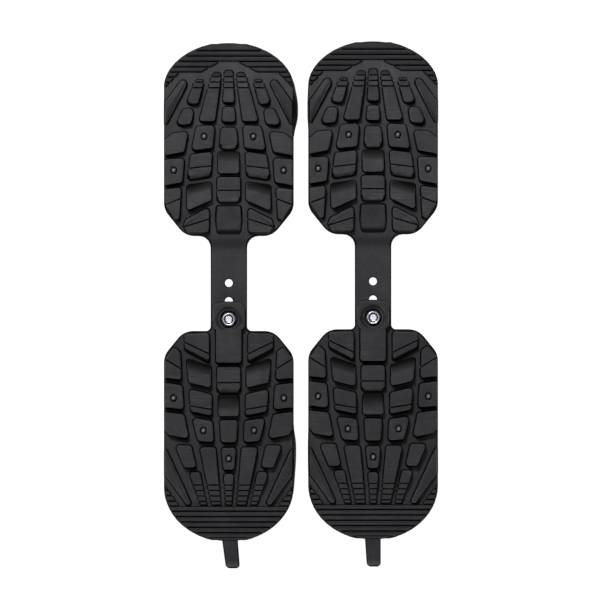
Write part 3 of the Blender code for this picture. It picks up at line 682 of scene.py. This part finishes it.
def tongue():
    """The block that covers the strap's end and holds the nut in a dished recess."""
    half, radius, bevel = 10.0, 9.95, 1.5
    bottom = CHANNEL_TOP
    lower = []
    for degrees in range(45, -60, -15):
        angle = math.radians(degrees)
        lower.append((radius * math.sin(angle), BOLT_Y - 1.2 - radius * math.cos(angle) * 0.92, 20.0))
    corners = even_outline([(half, 2.4, 4.8), (half, BOLT_Y - 5.5, 3.0)], lower)
    levels = [(-0.15, bottom), (0.05, bottom + 0.25)]
    levels += [(0.3, FLOOR - 0.2), (0.25, FLOOR + 0.6), (0.0, TOP - bevel)]
    levels += [(-bevel * inwards, TOP - bevel + bevel * up) for inwards, up in rounding_steps(6)[1:]]
    levels.append((-bevel - 0.15, TOP))
    bm = bmesh.new()
    rows = skin(bm, level_rings(corners, levels, 5), (False, False))
    dish = [
        (DISH_RADIUS + 0.15, TOP), (DISH_RADIUS, TOP - 0.1), (7.8, TOP - 1.05), (7.65, TOP - 1.25),
        (7.3, TOP - 1.35), (6.6, TOP - 1.6), (5.9, TOP - 2.3), (5.6, TOP - 2.6), (5.45, TOP - 3.0),
        (5.4, 24.3), (5.25, 23.9), (5.0, 23.8), (HOLE_RADIUS + 0.3, 23.8), (HOLE_RADIUS, 23.5),
        (HOLE_RADIUS, bottom + 0.3), (HOLE_RADIUS + 0.3, bottom),
    ]
    dish_rows = turned(bm, dish, (0.0, BOLT_Y), 56, (False, False))
    fill_between(bm, rows[-1], [dish_rows[0]])
    fill_between(bm, rows[0], [dish_rows[-1]])
    return bm


# ---- Cup walls, tab ----

# How far each cleat's wall bows outwards, on its -x side and its +x side.
WALL_BOW = {"left": (0.8, 3.2), "right": (0.8, 0.8)}
HEEL_BOW_SHARE = 0.6
WALL_THICKNESS = 4.0
LIP_REACH = 9.5
TOE_WALL_ENDS = (108.0, 126.0)
HEEL_WALL_ENDS = (-76.0, -94.0)
LOWEST_WALL_SHARE = 0.12


def smoothed(points):
    """A closed line with its corners cut twice over, which leaves it smooth."""
    for _ in range(2):
        cut = []
        for (ax, az), (bx, bz) in with_next(points):
            cut.append((ax * 0.75 + bx * 0.25, az * 0.75 + bz * 0.25))
            cut.append((ax * 0.25 + bx * 0.75, az * 0.25 + bz * 0.75))
        points = cut
    return points


def wall_section(height_share, bow):
    """The wall's cross-section as (outwards, z below the plate's shoe side), with a beaded rim."""
    lip = WALL_THICKNESS + (LIP_REACH - WALL_THICKNESS) * height_share ** 2
    bead = 0.5 * height_share
    inner = -WALL_THICKNESS
    section = [
        (-0.4, 3.6), (-0.25, 0.8), (bow * 0.3, -2.0), (bow * 0.75, -6.0), (bow, -10.0), (bow * 0.7, -13.6),
        (bow * 0.4 - 0.3, -14.6), (bow * 0.3 + bead - 0.3, -15.3), (bow * 0.2 + bead - 0.4, -16.9),
        (-1.0, -18.05), (inner, -18.05), (-lip + 1.0, -17.75), (-lip, -17.4), (-lip, -15.4),
        (-lip + 1.0, -15.1), (inner - 1.2, -14.4), (bow * 0.6 + inner, -12.0), (bow * 0.9 + inner, -8.0),
        (inner, -2.6), (inner - 0.8, -0.6), (inner - 2.6, 0.6), (inner - 2.6, 3.6),
    ]
    return [(out, PLATE_BOTTOM + (z if z > 0 else z * height_share)) for out, z in smoothed(section)]


def cup_wall(rounding, ends, bows):
    """The wall round a cup. It rises from low free ends and bows outwards most near them."""
    straight_y, tip_y, power = rounding
    path = []
    side_steps, end_steps = 26, 44
    for i in range(side_steps):
        path.append((-HALF_WIDTH, ends[0] + (straight_y - ends[0]) * i / side_steps, -1.0, 0.0))
    for i in range(end_steps + 1):
        angle = math.pi * (1 - i / end_steps)
        lift = power * max(0.0, math.sin(angle)) ** (2 - 2 / power) / (tip_y - straight_y)
        out = Vector((2 * math.cos(angle) / HALF_WIDTH, lift)).normalized()
        path.append((*end_point(angle, rounding), out.x, out.y))
    for x, y, out_x, out_y in path[side_steps - 1::-1]:
        path.append((-x, y, -out_x, out_y))
    rings = []
    for x, y, out_x, out_y in path:
        share = LOWEST_WALL_SHARE + (1 - LOWEST_WALL_SHARE) * smooth_share(y, *ends)
        near_end = 1 - smooth_share(abs(y - ends[0]), abs(ends[1] - ends[0]), abs(tip_y - ends[0]) * 0.7)
        bow = bows[0 if x < 0 else 1] * near_end * math.sin(math.pi / 2 * share)
        rings.append([(x + out * out_x, y + out * out_y, z) for out, z in wall_section(share, bow)])
    return body_of(rings)


def pull_tab(lean_deg, twist_deg):
    """A soft bar that leans a little to one side and twists along its length."""
    root_y, end_y = -146.0, -168.3
    steps, around = 22, 28
    lean = math.tan(math.radians(lean_deg))
    rings = []
    for i in range(steps + 1):
        share = i / steps
        y = root_y + (end_y - root_y) * share
        half = 5.2 - 0.7 * share
        end_round = 1 - math.sqrt(max(0.0, 1 - max(0.0, (share - 0.88) / 0.12) ** 2))
        half -= 1.9 * end_round
        thick = 1.4 * (1 - 0.55 * end_round)
        twist = math.radians(twist_deg) * smooth_share(share, 0.1, 0.7)
        middle = Vector((-(y - root_y) * lean, y, 1.9))
        ring = []
        for k in range(around):
            angle = 2 * math.pi * k / around
            across_share = math.copysign(abs(math.cos(angle)) ** 0.35, math.cos(angle))
            up_share = math.copysign(abs(math.sin(angle)) ** 0.5, math.sin(angle))
            sunk = 0.28 * smooth_share(0.72 - abs(across_share), 0.0, 0.12) * (1 if up_share > 0 else 0)
            x, z = half * across_share, thick * up_share - sunk
            ring.append((middle.x + x * math.cos(twist) - z * math.sin(twist), y,
                         middle.z + x * math.sin(twist) + z * math.cos(twist)))
        rings.append(ring)
    return body_of(rings)


def bed_ribs(y_from, y_to, half_from, half_to, skip_half):
    """Low rounded ribs on the shoe side of a plate, that grip the shoe's sole, but not within skip_half."""
    pitch = 5.2
    bm = bmesh.new()
    count = int(abs(y_to - y_from) // pitch)
    for i in range(count + 1):
        y = y_from + math.copysign(pitch, y_to - y_from) * i
        half = half_from + (half_to - half_from) * i / max(1, count)
        spans = [(-half, half)] if skip_half == 0 else [(-half, -skip_half), (skip_half, half)]
        for start, end in spans:
            rings = []
            for share in (0.0, 0.02, 0.06, 0.94, 0.98, 1.0):
                size = 1.0 - max(0.0, 1.0 - min(share, 1 - share) / 0.06) ** 2 * 0.8
                half_round, depth = 0.9 * size, 0.55 * size
                x = start + (end - start) * share
                ring = []
                for k in range(9):
                    angle = math.pi * k / 8
                    ring.append((x, y + math.cos(angle) * half_round, PLATE_BOTTOM - math.sin(angle) * depth))
                ring += [(x, y - half_round, PLATE_BOTTOM + 0.4), (x, y + half_round, PLATE_BOTTOM + 0.4)]
                rings.append(ring)
            skin(bm, rings)
    return bm


# ---- Metal pieces ----

def stud_mesh():
    """A steel pin with a flange in the rubber and a domed tip with a small hard point."""
    profile = [
        (2.1, 22.9), (2.35, 23.0), (2.35, 23.75), (2.2, 23.9), (1.45, 23.95), (1.4, 24.1),
        (1.4, TOP - 0.35), (1.46, TOP - 0.2), (1.46, TOP + 0.15), (1.38, TOP + 0.35), (1.05, TOP + 0.95),
        (0.82, TOP + 1.3), (0.76, TOP + 1.42), (0.66, TOP + 1.6), (0.5, TOP + 1.68), (0.2, TOP + 1.7),
    ]
    bm = bmesh.new()
    turned(bm, profile, (0.0, 0.0), 28)
    return bm


def bolt_mesh():
    """A low domed head with a hex key recess, and a shank with a real helical thread."""
    head_top, head_bottom = 16.4, 14.2
    key = 1.5 / math.cos(math.pi / 6)
    bm = bmesh.new()
    profile = [
        (2.7, head_bottom), (3.6, head_bottom + 0.14), (4.5, head_bottom + 0.6), (5.0, head_bottom + 1.2),
        (5.2, head_bottom + 1.8), (5.12, head_top - 0.06), (5.0, head_top),
    ]
    rows = turned(bm, profile, (0.0, 0.0), 48, (False, True))
    recess = [(key * 1.1, 0.0), (key, 0.12), (key, 1.35), (0.3, 1.7)]
    recess_rows = skin(bm, [hexagon_ring(radius, head_bottom + z, 8) for radius, z in recess], (False, True))
    fill_between(bm, rows[0], [recess_rows[0]])
    add_all(bm, threaded_rod(head_top - 0.4, 29.6))
    return bm


def hexagon_ring(corner_radius, z, per_side):
    """Points round a hexagon, per_side of them to each side."""
    corners = circle((0.0, 0.0), corner_radius, z, 6)
    return [start.lerp(end, k / per_side) for start, end in with_next(corners) for k in range(per_side)]


def threaded_rod(bottom, top):
    """A rod whose radius follows a helix, closed at both ends with a chamfered tip."""
    radius, pitch, depth = 2.3, 0.8, 0.42
    around, per_pitch = 40, 8
    levels = int((top - bottom) / pitch * per_pitch)
    rings = []
    for i in range(levels + 1):
        z = bottom + (top - bottom) * i / levels
        limit = radius - max(0.0, z - (top - 0.5)) * 0.8
        ring = []
        for k in range(around):
            angle = 2 * math.pi * k / around
            phase = ((z - bottom) / pitch - k / around) % 1.0
            crest = abs(phase * 2 - 1)
            r = radius - depth * smooth_share(crest, 0.15, 0.85)
            r = min(r, limit)
            ring.append((r * math.cos(angle), r * math.sin(angle), z))
        rings.append(ring)
    return body_of(rings)


def nut_mesh():
    """A hexagon nut with chamfered corners and a round collar rolled over the nylon ring."""
    bottom, body_top, collar_top = 24.1, 27.6, 29.1
    corner = 4.0 / math.cos(math.pi / 6)
    per_side = 8

    def hexed(z, limit):
        """The hexagon at a height, with its corners turned down to a round limit."""
        ring = []
        for point in hexagon_ring(corner, z, per_side):
            share = min(1.0, limit / point.xy.length)
            ring.append((point.x * share, point.y * share, z))
        return ring

    rings = [hexed(bottom, 4.15), hexed(bottom + 0.25, 4.45), hexed(bottom + 0.5, 5.0)]
    rings += [hexed(body_top - 0.95, 5.0), hexed(body_top - 0.55, 4.62), hexed(body_top - 0.15, 4.12)]
    rounds = [
        (3.95, body_top), (3.9, body_top + 0.12), (3.92, collar_top - 0.3), (3.85, collar_top - 0.09),
        (3.66, collar_top), (3.24, collar_top), (3.13, collar_top - 0.08), (3.1, collar_top - 0.25),
        (3.42, collar_top - 0.45), (3.45, 27.45), (2.75, 27.4), (2.62, 27.2), (2.62, bottom + 0.35),
        (2.9, bottom + 0.05), (3.1, bottom),
    ]
    rings += [circle((0.0, 0.0), radius, z, per_side * 6) for radius, z in rounds]
    return closed_ring(rings)


def ring_mesh(profile, steps):
    """A ring turned from a closed profile of (radius, z)."""
    return closed_ring([circle((0.0, 0.0), radius, z, steps) for radius, z in profile])


def insert_mesh():
    low, high = 27.65, 28.72
    return ring_mesh([
        (3.12, low), (3.2, low + 0.1), (3.2, high - 0.2), (3.1, high - 0.03), (2.9, high), (2.5, high - 0.08),
        (2.4, high - 0.3), (2.4, low + 0.2), (2.5, low),
    ], 48)


def washer_mesh():
    low, high = 16.7, 17.7
    return ring_mesh([
        (2.85, low), (5.8, low), (5.95, low + 0.08), (6.0, low + 0.25), (6.0, high - 0.12), (5.9, high),
        (2.9, high), (2.75, high - 0.15), (2.75, low + 0.12),
    ], 56)


# ---- Materials ----

class Nodes:
    """A short way to build a material's node tree."""

    def __init__(self, name):
        self.material = bpy.data.materials.new(name)
        self.material.use_nodes = True
        self.tree = self.material.node_tree
        self.shader = self.tree.nodes["Principled BSDF"]
        self.position = self.add("ShaderNodeTexCoord").outputs["Object"]

    def add(self, kind, **settings):
        node = self.tree.nodes.new(kind)
        for key, value in settings.items():
            setattr(node, key, value)
        return node

    def link(self, source, target):
        self.tree.links.new(source, target)

    def put(self, value, socket):
        """Give a socket a number or a colour, or link another node's output to it."""
        if isinstance(value, float):
            socket.default_value = value
        elif isinstance(value, tuple):
            socket.default_value = (*value, 1.0)
        else:
            self.link(value, socket)

    def shade(self, input_name, source):
        self.link(source, self.shader.inputs[input_name])

    def finish(self, colour, roughness, grain):
        """roughness is noise (scale, detail, low, high). grain is bumps (scale, detail, depth, strength)."""
        scale, detail, low, high = roughness
        self.shade("Base Color", colour)
        self.shade("Roughness", self.ramp(self.noise(scale, detail), [(0.3, low), (0.7, high)]))
        self.shade("Normal", self.bump(self.noise(*grain[:2]), *grain[2:]))

    def noise(self, scale, detail=4.0, roughness=0.6, distortion=0.0, stretch=None):
        node = self.add("ShaderNodeTexNoise")
        node.inputs["Scale"].default_value = scale
        node.inputs["Detail"].default_value = detail
        node.inputs["Roughness"].default_value = roughness
        node.inputs["Distortion"].default_value = distortion
        place = self.position
        if stretch:
            mapping = self.add("ShaderNodeMapping")
            mapping.inputs["Scale"].default_value = stretch
            self.link(place, mapping.inputs["Vector"])
            place = mapping.outputs["Vector"]
        self.link(place, node.inputs["Vector"])
        return node.outputs["Fac"]

    def cells(self, scale):
        node = self.add("ShaderNodeTexVoronoi")
        node.inputs["Scale"].default_value = scale
        self.link(self.position, node.inputs["Vector"])
        return node.outputs["Distance"]

    def ramp(self, source, stops):
        """A colour ramp of (place, grey or colour) stops."""
        node = self.add("ShaderNodeValToRGB")
        band = node.color_ramp
        while len(band.elements) < len(stops):
            band.elements.new(0.5)
        for element, (place, value) in zip(band.elements, stops):
            element.position = place
            element.color = (*value, 1.0) if isinstance(value, tuple) else (value, value, value, 1.0)
        self.link(source, node.inputs["Fac"])
        return node.outputs["Color"]

    def blend(self, how, share, a, b):
        """Mix two colours. share is a number or a socket."""
        node = self.add("ShaderNodeMix", data_type="RGBA", blend_type=how)
        for value, slot in ((share, 0), (a, 6), (b, 7)):
            self.put(value, node.inputs[slot])
        return node.outputs[2]

    def maths(self, how, a, b):
        node = self.add("ShaderNodeMath", operation=how)
        for value, slot in ((a, 0), (b, 1)):
            self.put(value, node.inputs[slot])
        return node.outputs[0]

    def times(self, a, b):
        return self.maths("MULTIPLY", a, b)

    def larger(self, a, b):
        return self.maths("MAXIMUM", a, b)

    def bump(self, source, distance, strength, before=None):
        node = self.add("ShaderNodeBump")
        node.inputs["Strength"].default_value = strength
        node.inputs["Distance"].default_value = distance
        self.link(source, node.inputs["Height"])
        if before:
            self.link(before, node.inputs["Normal"])
        return node.outputs["Normal"]

    def along(self, axis_name, low, high):
        """0 where the position on one axis is low and 1 where it is high, both in metres."""
        axis = self.add("ShaderNodeSeparateXYZ")
        self.link(self.position, axis.inputs[0])
        node = self.add("ShaderNodeMapRange")
        node.inputs["From Min"].default_value = low
        node.inputs["From Max"].default_value = high
        self.link(axis.outputs[axis_name], node.inputs["Value"])
        return node.outputs["Result"]

    def edges(self, low, high):
        """1 on worn convex edges and 0 elsewhere."""
        return self.ramp(self.add("ShaderNodeNewGeometry").outputs["Pointiness"], [(low, 0.0), (high, 1.0)])


def rubber_material(name, painted_light, painted_groove_light, painted_end_groove_light, painted_rib_light, end_y):
    """Charcoal rubber: fine moulded grain, faint mottling and smears, and edges a shade paler from wear and
    painted highlight.

    The floors of the grooves carry painted shade that lightens towards the rounded end, and the low ribs
    carry painted shade too.
    The tread's upright walls, the low ends of its ramps, the plates' rounded rims and the cup walls' sloping
    faces are painted in deep shade.
    """
    n = Nodes(name)
    # Every colour here is scaled by one brightness factor, so that each copy of this rubber is a lit or
    # shaded version of it.
    dark = tuple(painted_light * c for c in (0.031, 0.031, 0.035))
    pale = tuple(painted_light * c for c in (0.050, 0.050, 0.055))
    mottled = n.ramp(n.noise(42.0, 6.0, 0.7), [(0.32, dark), (0.68, pale)])
    speckled = n.blend("MULTIPLY", 0.6, mottled, n.ramp(n.noise(900.0, 3.0, 0.7), [(0.3, 0.62), (0.62, 1.0)]))

    axis = n.add("ShaderNodeSeparateXYZ")
    n.link(n.add("ShaderNodeTexCoord").outputs["Normal"], axis.inputs[0])
    level = n.maths("ABSOLUTE", axis.outputs["Z"], 0.0)
    # Bevelled top edges painted a shade paler: wear, and painted highlight. The scuffs on the tops are wear.
    bevels = n.times(n.ramp(level, [(0.42, 0.0), (0.54, 1.0), (0.78, 1.0), (0.85, 0.0)]),
                     n.along("Z", 0.0246, 0.0262))
    worn = n.times(bevels, n.ramp(n.noise(160.0, 4.0), [(0.35, 0.3), (0.65, 0.95)]))
    streaks = n.ramp(n.noise(900.0, 2.0, 0.6, 0.0, (0.05, 1.0, 1.0)), [(0.52, 0.0), (0.74, 0.42)])
    scuffs = n.times(streaks, n.ramp(n.noise(50.0, 2.0), [(0.42, 0.0), (0.62, 1.0)]))
    worn = n.larger(worn, n.times(scuffs, n.along("Z", 0.0262, 0.0280)))

    towards_end = n.along("Y", *end_y)
    height = n.along("Z", 0.018, 0.030)
    # Painted shade on the floors of the grooves, lighter towards the rounded end, and painted shade on the
    # low ribs.
    painted_groove_shade = n.ramp(towards_end, [(0.0, painted_groove_light), (1.0, painted_end_groove_light)])
    floor = n.ramp(height, [(0.30, 0.0), (0.36, 1.0), (0.46, 1.0), (0.54, 0.0)])
    painted_rib_shade = n.ramp(height, [(0.46, 1.0), (0.54, painted_rib_light), (0.60, painted_rib_light), (0.80, 1.0)])
    speckle_with_painted_shade = n.blend("MIX", floor, speckled, n.blend("MULTIPLY", 1.0, speckled, painted_groove_shade))
    speckle_with_painted_shade = n.blend("MULTIPLY", 1.0, speckle_with_painted_shade, painted_rib_shade)

    # Painted deep shade on the upright walls, the plates' rims and the lugs' feet, and painted shadow on the
    # low ends of the ramps.
    walls = n.ramp(level, [(0.35, 1.0), (0.93, 0.0)])
    rims = n.times(n.ramp(level, [(0.70, 1.0), (0.98, 0.0)]), n.along("Z", 0.0236, 0.0230))
    low_slope_painted_shadow = n.times(n.ramp(level, [(0.95, 1.0), (0.99, 0.0)]), n.along("Z", 0.0280, 0.0246))
    low_slope_painted_shadow = n.times(low_slope_painted_shadow, n.ramp(towards_end, [(0.0, 1.0), (0.8, 0.0)]))
    painted_deep_shade = n.times(n.larger(n.larger(walls, rims), low_slope_painted_shadow), n.along("Z", 0.0170, 0.0185))
    # Painted shade on the cup walls' sloping faces below the plate.
    bow_painted_shade = n.times(n.ramp(level, [(0.08, 0.0), (0.2, 1.0), (0.9, 1.0), (0.98, 0.0)]),
                     n.along("Z", 0.0185, 0.0170))
    painted_deep_shade = n.larger(painted_deep_shade, bow_painted_shade)
    # The painted deep shade goes over the rubber's colour, and the paler edges go over that.
    with_painted_deep_shade = n.blend("MIX", painted_deep_shade, speckle_with_painted_shade, (0.004, 0.004, 0.0045))
    n.shade("Base Color", n.blend("MIX", worn, with_painted_deep_shade, tuple(painted_light * c for c in (0.125, 0.125, 0.135))))
    n.shade("Specular IOR Level", n.ramp(painted_deep_shade, [(0.0, 0.22), (1.0, 0.05)]))

    n.shade("Roughness", n.ramp(n.noise(60.0, 3.0, 0.5, 1.5), [(0.3, 0.52), (0.7, 0.72)]))
    grain = n.bump(n.noise(1400.0, 3.0, 0.6), 0.00014, 0.55)
    n.shade("Normal", n.bump(n.noise(210.0, 2.0, 0.5), 0.0004, 0.18, grain))
    return n.material


def stud_material():
    """Dull grey hardened steel, blasted and scuffed, and a little brighter at the tip from polish and painted
    highlight.
    """
    n = Nodes("stud_steel")
    base = n.ramp(n.noise(900.0, 4.0), [(0.3, (0.10, 0.10, 0.105)), (0.7, (0.17, 0.17, 0.18))])
    # The tip is painted paler: partly polish from wear, partly painted highlight.
    tip_polish_and_highlight = n.blend("MIX", n.along("Z", 0.0288, 0.0302), base, (0.24, 0.24, 0.25))
    worn = n.blend("MIX", n.edges(0.54, 0.70), tip_polish_and_highlight, (0.30, 0.30, 0.31))
    n.shader.inputs["Metallic"].default_value = 0.75
    n.finish(worn, (1500.0, 3.0, 0.50, 0.68), (3500.0, 2.0, 0.00005, 0.35))
    return n.material


def zinc_material():
    """Bright zinc plating with a faint crystalline mottle and small handling marks."""
    n = Nodes("bright_zinc")
    mottled = n.ramp(n.noise(700.0, 4.0), [(0.3, (0.80, 0.80, 0.82)), (0.7, (0.95, 0.95, 0.96))])
    dulled = n.blend("MIX", n.ramp(n.cells(1600.0), [(0.1, 0.25), (0.5, 0.0)]), mottled, (0.62, 0.62, 0.65))
    worn = n.blend("MIX", n.edges(0.56, 0.72), dulled, (0.97, 0.97, 0.97))
    n.shader.inputs["Metallic"].default_value = 0.9
    n.finish(worn, (1200.0, 3.0, 0.26, 0.42), (2600.0, 3.0, 0.00004, 0.3))
    return n.material


def nylon_material():
    """Blue nylon, slightly cloudy and faintly rough."""
    n = Nodes("blue_nylon")
    cloudy = n.ramp(n.noise(800.0, 3.0), [(0.3, (0.006, 0.015, 0.11)), (0.7, (0.015, 0.035, 0.22))])
    n.shader.inputs["Specular IOR Level"].default_value = 0.3
    n.finish(cloudy, (1500.0, 2.0, 0.5, 0.7), (3000.0, 2.0, 0.00004, 0.3))
    return n.material


def floor_material():
    """A pale light table: mostly its own even glow, with a little of the light that falls on it."""
    n = Nodes("pale_table")
    n.shade("Base Color", n.ramp(n.noise(3.0, 2.0), [(0.3, 0.18), (0.7, 0.22)]))
    n.shader.inputs["Roughness"].default_value = 0.9
    n.shader.inputs["Specular IOR Level"].default_value = 0.1
    n.shader.inputs["Emission Color"].default_value = (1.0, 1.0, 1.0, 1.0)
    n.shader.inputs["Emission Strength"].default_value = 1.0
    clear = n.add("ShaderNodeBsdfTransparent")
    mix = n.add("ShaderNodeMixShader")
    n.link(n.add("ShaderNodeNewGeometry").outputs["Backfacing"], mix.inputs[0])
    n.link(n.shader.outputs[0], mix.inputs[1])
    n.link(clear.outputs[0], mix.inputs[2])
    n.link(mix.outputs[0], n.tree.nodes["Material Output"].inputs["Surface"])
    return n.material


# ---- The pieces ----

# Each pull tab's lean and twist, in degrees.
TAB_LEAN = {"left": (6.0, 7.0), "right": (2.0, 2.0)}
# Material slots of the heel piece: a darker copy of the rubber as painted shade in the nut's recess, and a
# lighter copy as painted light on the tab.
RECESS_INDEX, TAB_INDEX = 1, 2


def make_toe(side, material):
    bm = toe_plate()
    add_all(bm, cup_wall(TOE_ROUND, TOE_WALL_ENDS, WALL_BOW[side]))
    for lug in toe_lugs() + toe_ribs():
        add_all(bm, lug_mesh(lug))
    add_all(bm, bed_ribs(148.0, 56.0, 28.0, 33.0, 0))
    piece = make_piece(f"{side}_toe_rubber", bm, ORIGIN[side], [material])
    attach(piece, f"{side}_toe_half")
    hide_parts(f"{side}_toe_section")


def make_heel(side, material, recess_material, tab_material):
    bm = heel_plate()
    bows = [bow * HEEL_BOW_SHARE for bow in WALL_BOW[side]]
    add_all(bm, cup_wall(HEEL_ROUND, HEEL_WALL_ENDS, bows))
    for lug in heel_lugs() + heel_ribs():
        add_all(bm, lug_mesh(lug))
    add_all(bm, tongue())
    # The dish's faces get the darker copy: painted shade in the recess.
    for face in bm.faces:
        middle = face.calc_center_median()
        if FLOOR < middle.z < TOP - 0.3 and math.hypot(middle.x, middle.y - BOLT_Y) < DISH_RADIUS:
            face.material_index = RECESS_INDEX
    add_all(bm, bed_ribs(-26.0, -84.0, 29.0, 33.0, 14.0), bed_ribs(-93.0, -134.0, 32.0, 25.0, 0))
    body_faces = len(bm.faces)
    add_all(bm, pull_tab(*TAB_LEAN[side]))
    # The tab's faces get the lighter copy: painted light against the heel's cast shadow.
    for face in list(bm.faces)[body_faces:]:
        face.material_index = TAB_INDEX
    piece = make_piece(f"{side}_heel_rubber", bm, ORIGIN[side], [material, recess_material, tab_material])
    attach(piece, f"{side}_heel_half")
    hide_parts(f"{side}_heel_section")


def make_studs(side, end, places, material):
    both_sides = [(way * x, y) for x, y in places for way in ((1, -1) if x else (1,))]
    for number, (x, y) in enumerate(both_sides, start=1):
        spot = ORIGIN[side] + Vector((x * MM, y * MM, 0.0))
        piece = make_piece(f"{side}_{end}_pin_{number}", stud_mesh(), spot, [material])
        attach(piece, f"{side}_{end}_half")
        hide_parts(f"{side}_{end}_stud_{number}")


def make_fastener(side, materials):
    spot = ORIGIN[side] + Vector((0.0, BOLT_Y * MM, 0.0))
    parts = [
        ("screw", bolt_mesh(), "bolt", "bolt_body", "zinc_steel"),
        ("hex_nut", nut_mesh(), "lock_nut", "nut_body", "zinc_steel"),
        ("nylon_ring", insert_mesh(), "nut_insert", "nut_body", "blue_nylon"),
        ("flat_washer", washer_mesh(), "washer", "heel_half", "zinc_steel"),
    ]
    for name, bm, node, body, slot in parts:
        piece = make_piece(f"{side}_{name}", bm, spot, [materials[slot]])
        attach(piece, f"{side}_{body}")
        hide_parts(f"{side}_{node}")


def make_floor():
    half = 3.0
    mesh = bpy.data.meshes.new("table")
    corners = [(-half, -half, 0), (half, -half, 0), (half, half, 0), (-half, half, 0)]
    mesh.from_pydata(corners, [], [(0, 1, 2, 3)])
    mesh.materials.append(floor_material())
    item = bpy.data.objects.new("table", mesh)
    item.location.z = -0.0002
    bpy.context.collection.objects.link(item)


def area_light(name, place, size, power):
    """A rectangular light that points at the pair's middle."""
    data = bpy.data.lights.new(name, "AREA")
    data.shape = "RECTANGLE"
    data.size, data.size_y = size
    data.energy = power
    item = bpy.data.objects.new(name, data)
    item.location = place
    item.rotation_euler = (Vector() - Vector(place)).to_track_quat("-Z", "Y").to_euler()
    bpy.context.collection.objects.link(item)


def make_lights():
    """A main light from above the toes, a soft low one from the heels, and a faint one overhead."""
    area_light("key", (-0.35, 0.84, 1.3), (0.3, 0.24), 17)
    area_light("low_fill", (0.1, -1.3, 0.52), (1.2, 0.4), 9.5)
    area_light("overhead", (0.0, 0.0, 3.6), (1.0, 1.0), 6)
    world = bpy.data.worlds.new("studio")
    world.use_nodes = True
    background = world.node_tree.nodes["Background"]
    background.inputs["Color"].default_value = (1.0, 1.0, 1.0, 1.0)
    background.inputs["Strength"].default_value = 0.08
    bpy.context.scene.world = world


def make_camera():
    """Straight above the pair, so that 381 mm at the height of the lugs fills the frame."""
    distance, seen = 3.0, 0.381
    data = bpy.data.cameras.new("camera")
    data.sensor_width = 36.0
    data.lens = data.sensor_width * distance / seen
    item = bpy.data.objects.new("camera", data)
    item.location = (-0.0006, 0.0037, TOP * MM + distance)
    bpy.context.collection.objects.link(item)
    bpy.context.scene.camera = item
    bpy.context.scene.view_settings.view_transform = "Standard"


def main():
    heel_end = (-0.070, -0.140)
    # Lit and shaded copies of one rubber: the toe painted lighter and the heel darker, the recess in painted
    # shade, and the tab painted lighter against the heel's cast shadow.
    toe_rubber = rubber_material("charcoal_rubber_toe", 1.05, 0.85, 1.5, 0.62, (0.095, 0.150))
    heel_rubber = rubber_material("charcoal_rubber_heel", 0.85, 0.9, 1.2, 0.9, heel_end)
    recess_rubber = rubber_material("charcoal_rubber_recess_painted_shade", 0.62, 0.55, 0.9, 0.85, heel_end)
    tab_rubber = rubber_material("charcoal_rubber_tab_painted_light", 2.2, 1.0, 1.0, 1.0, heel_end)
    materials = {"stud_steel": stud_material(), "zinc_steel": zinc_material(), "blue_nylon": nylon_material()}
    for side in SIDES:
        make_toe(side, toe_rubber)
        make_heel(side, heel_rubber, recess_rubber, tab_rubber)
        make_studs(side, "toe", TOE_STUDS, materials["stud_steel"])
        make_studs(side, "heel", HEEL_STUDS, materials["stud_steel"])
        make_fastener(side, materials)
    make_floor()
    make_lights()
    make_camera()


main()
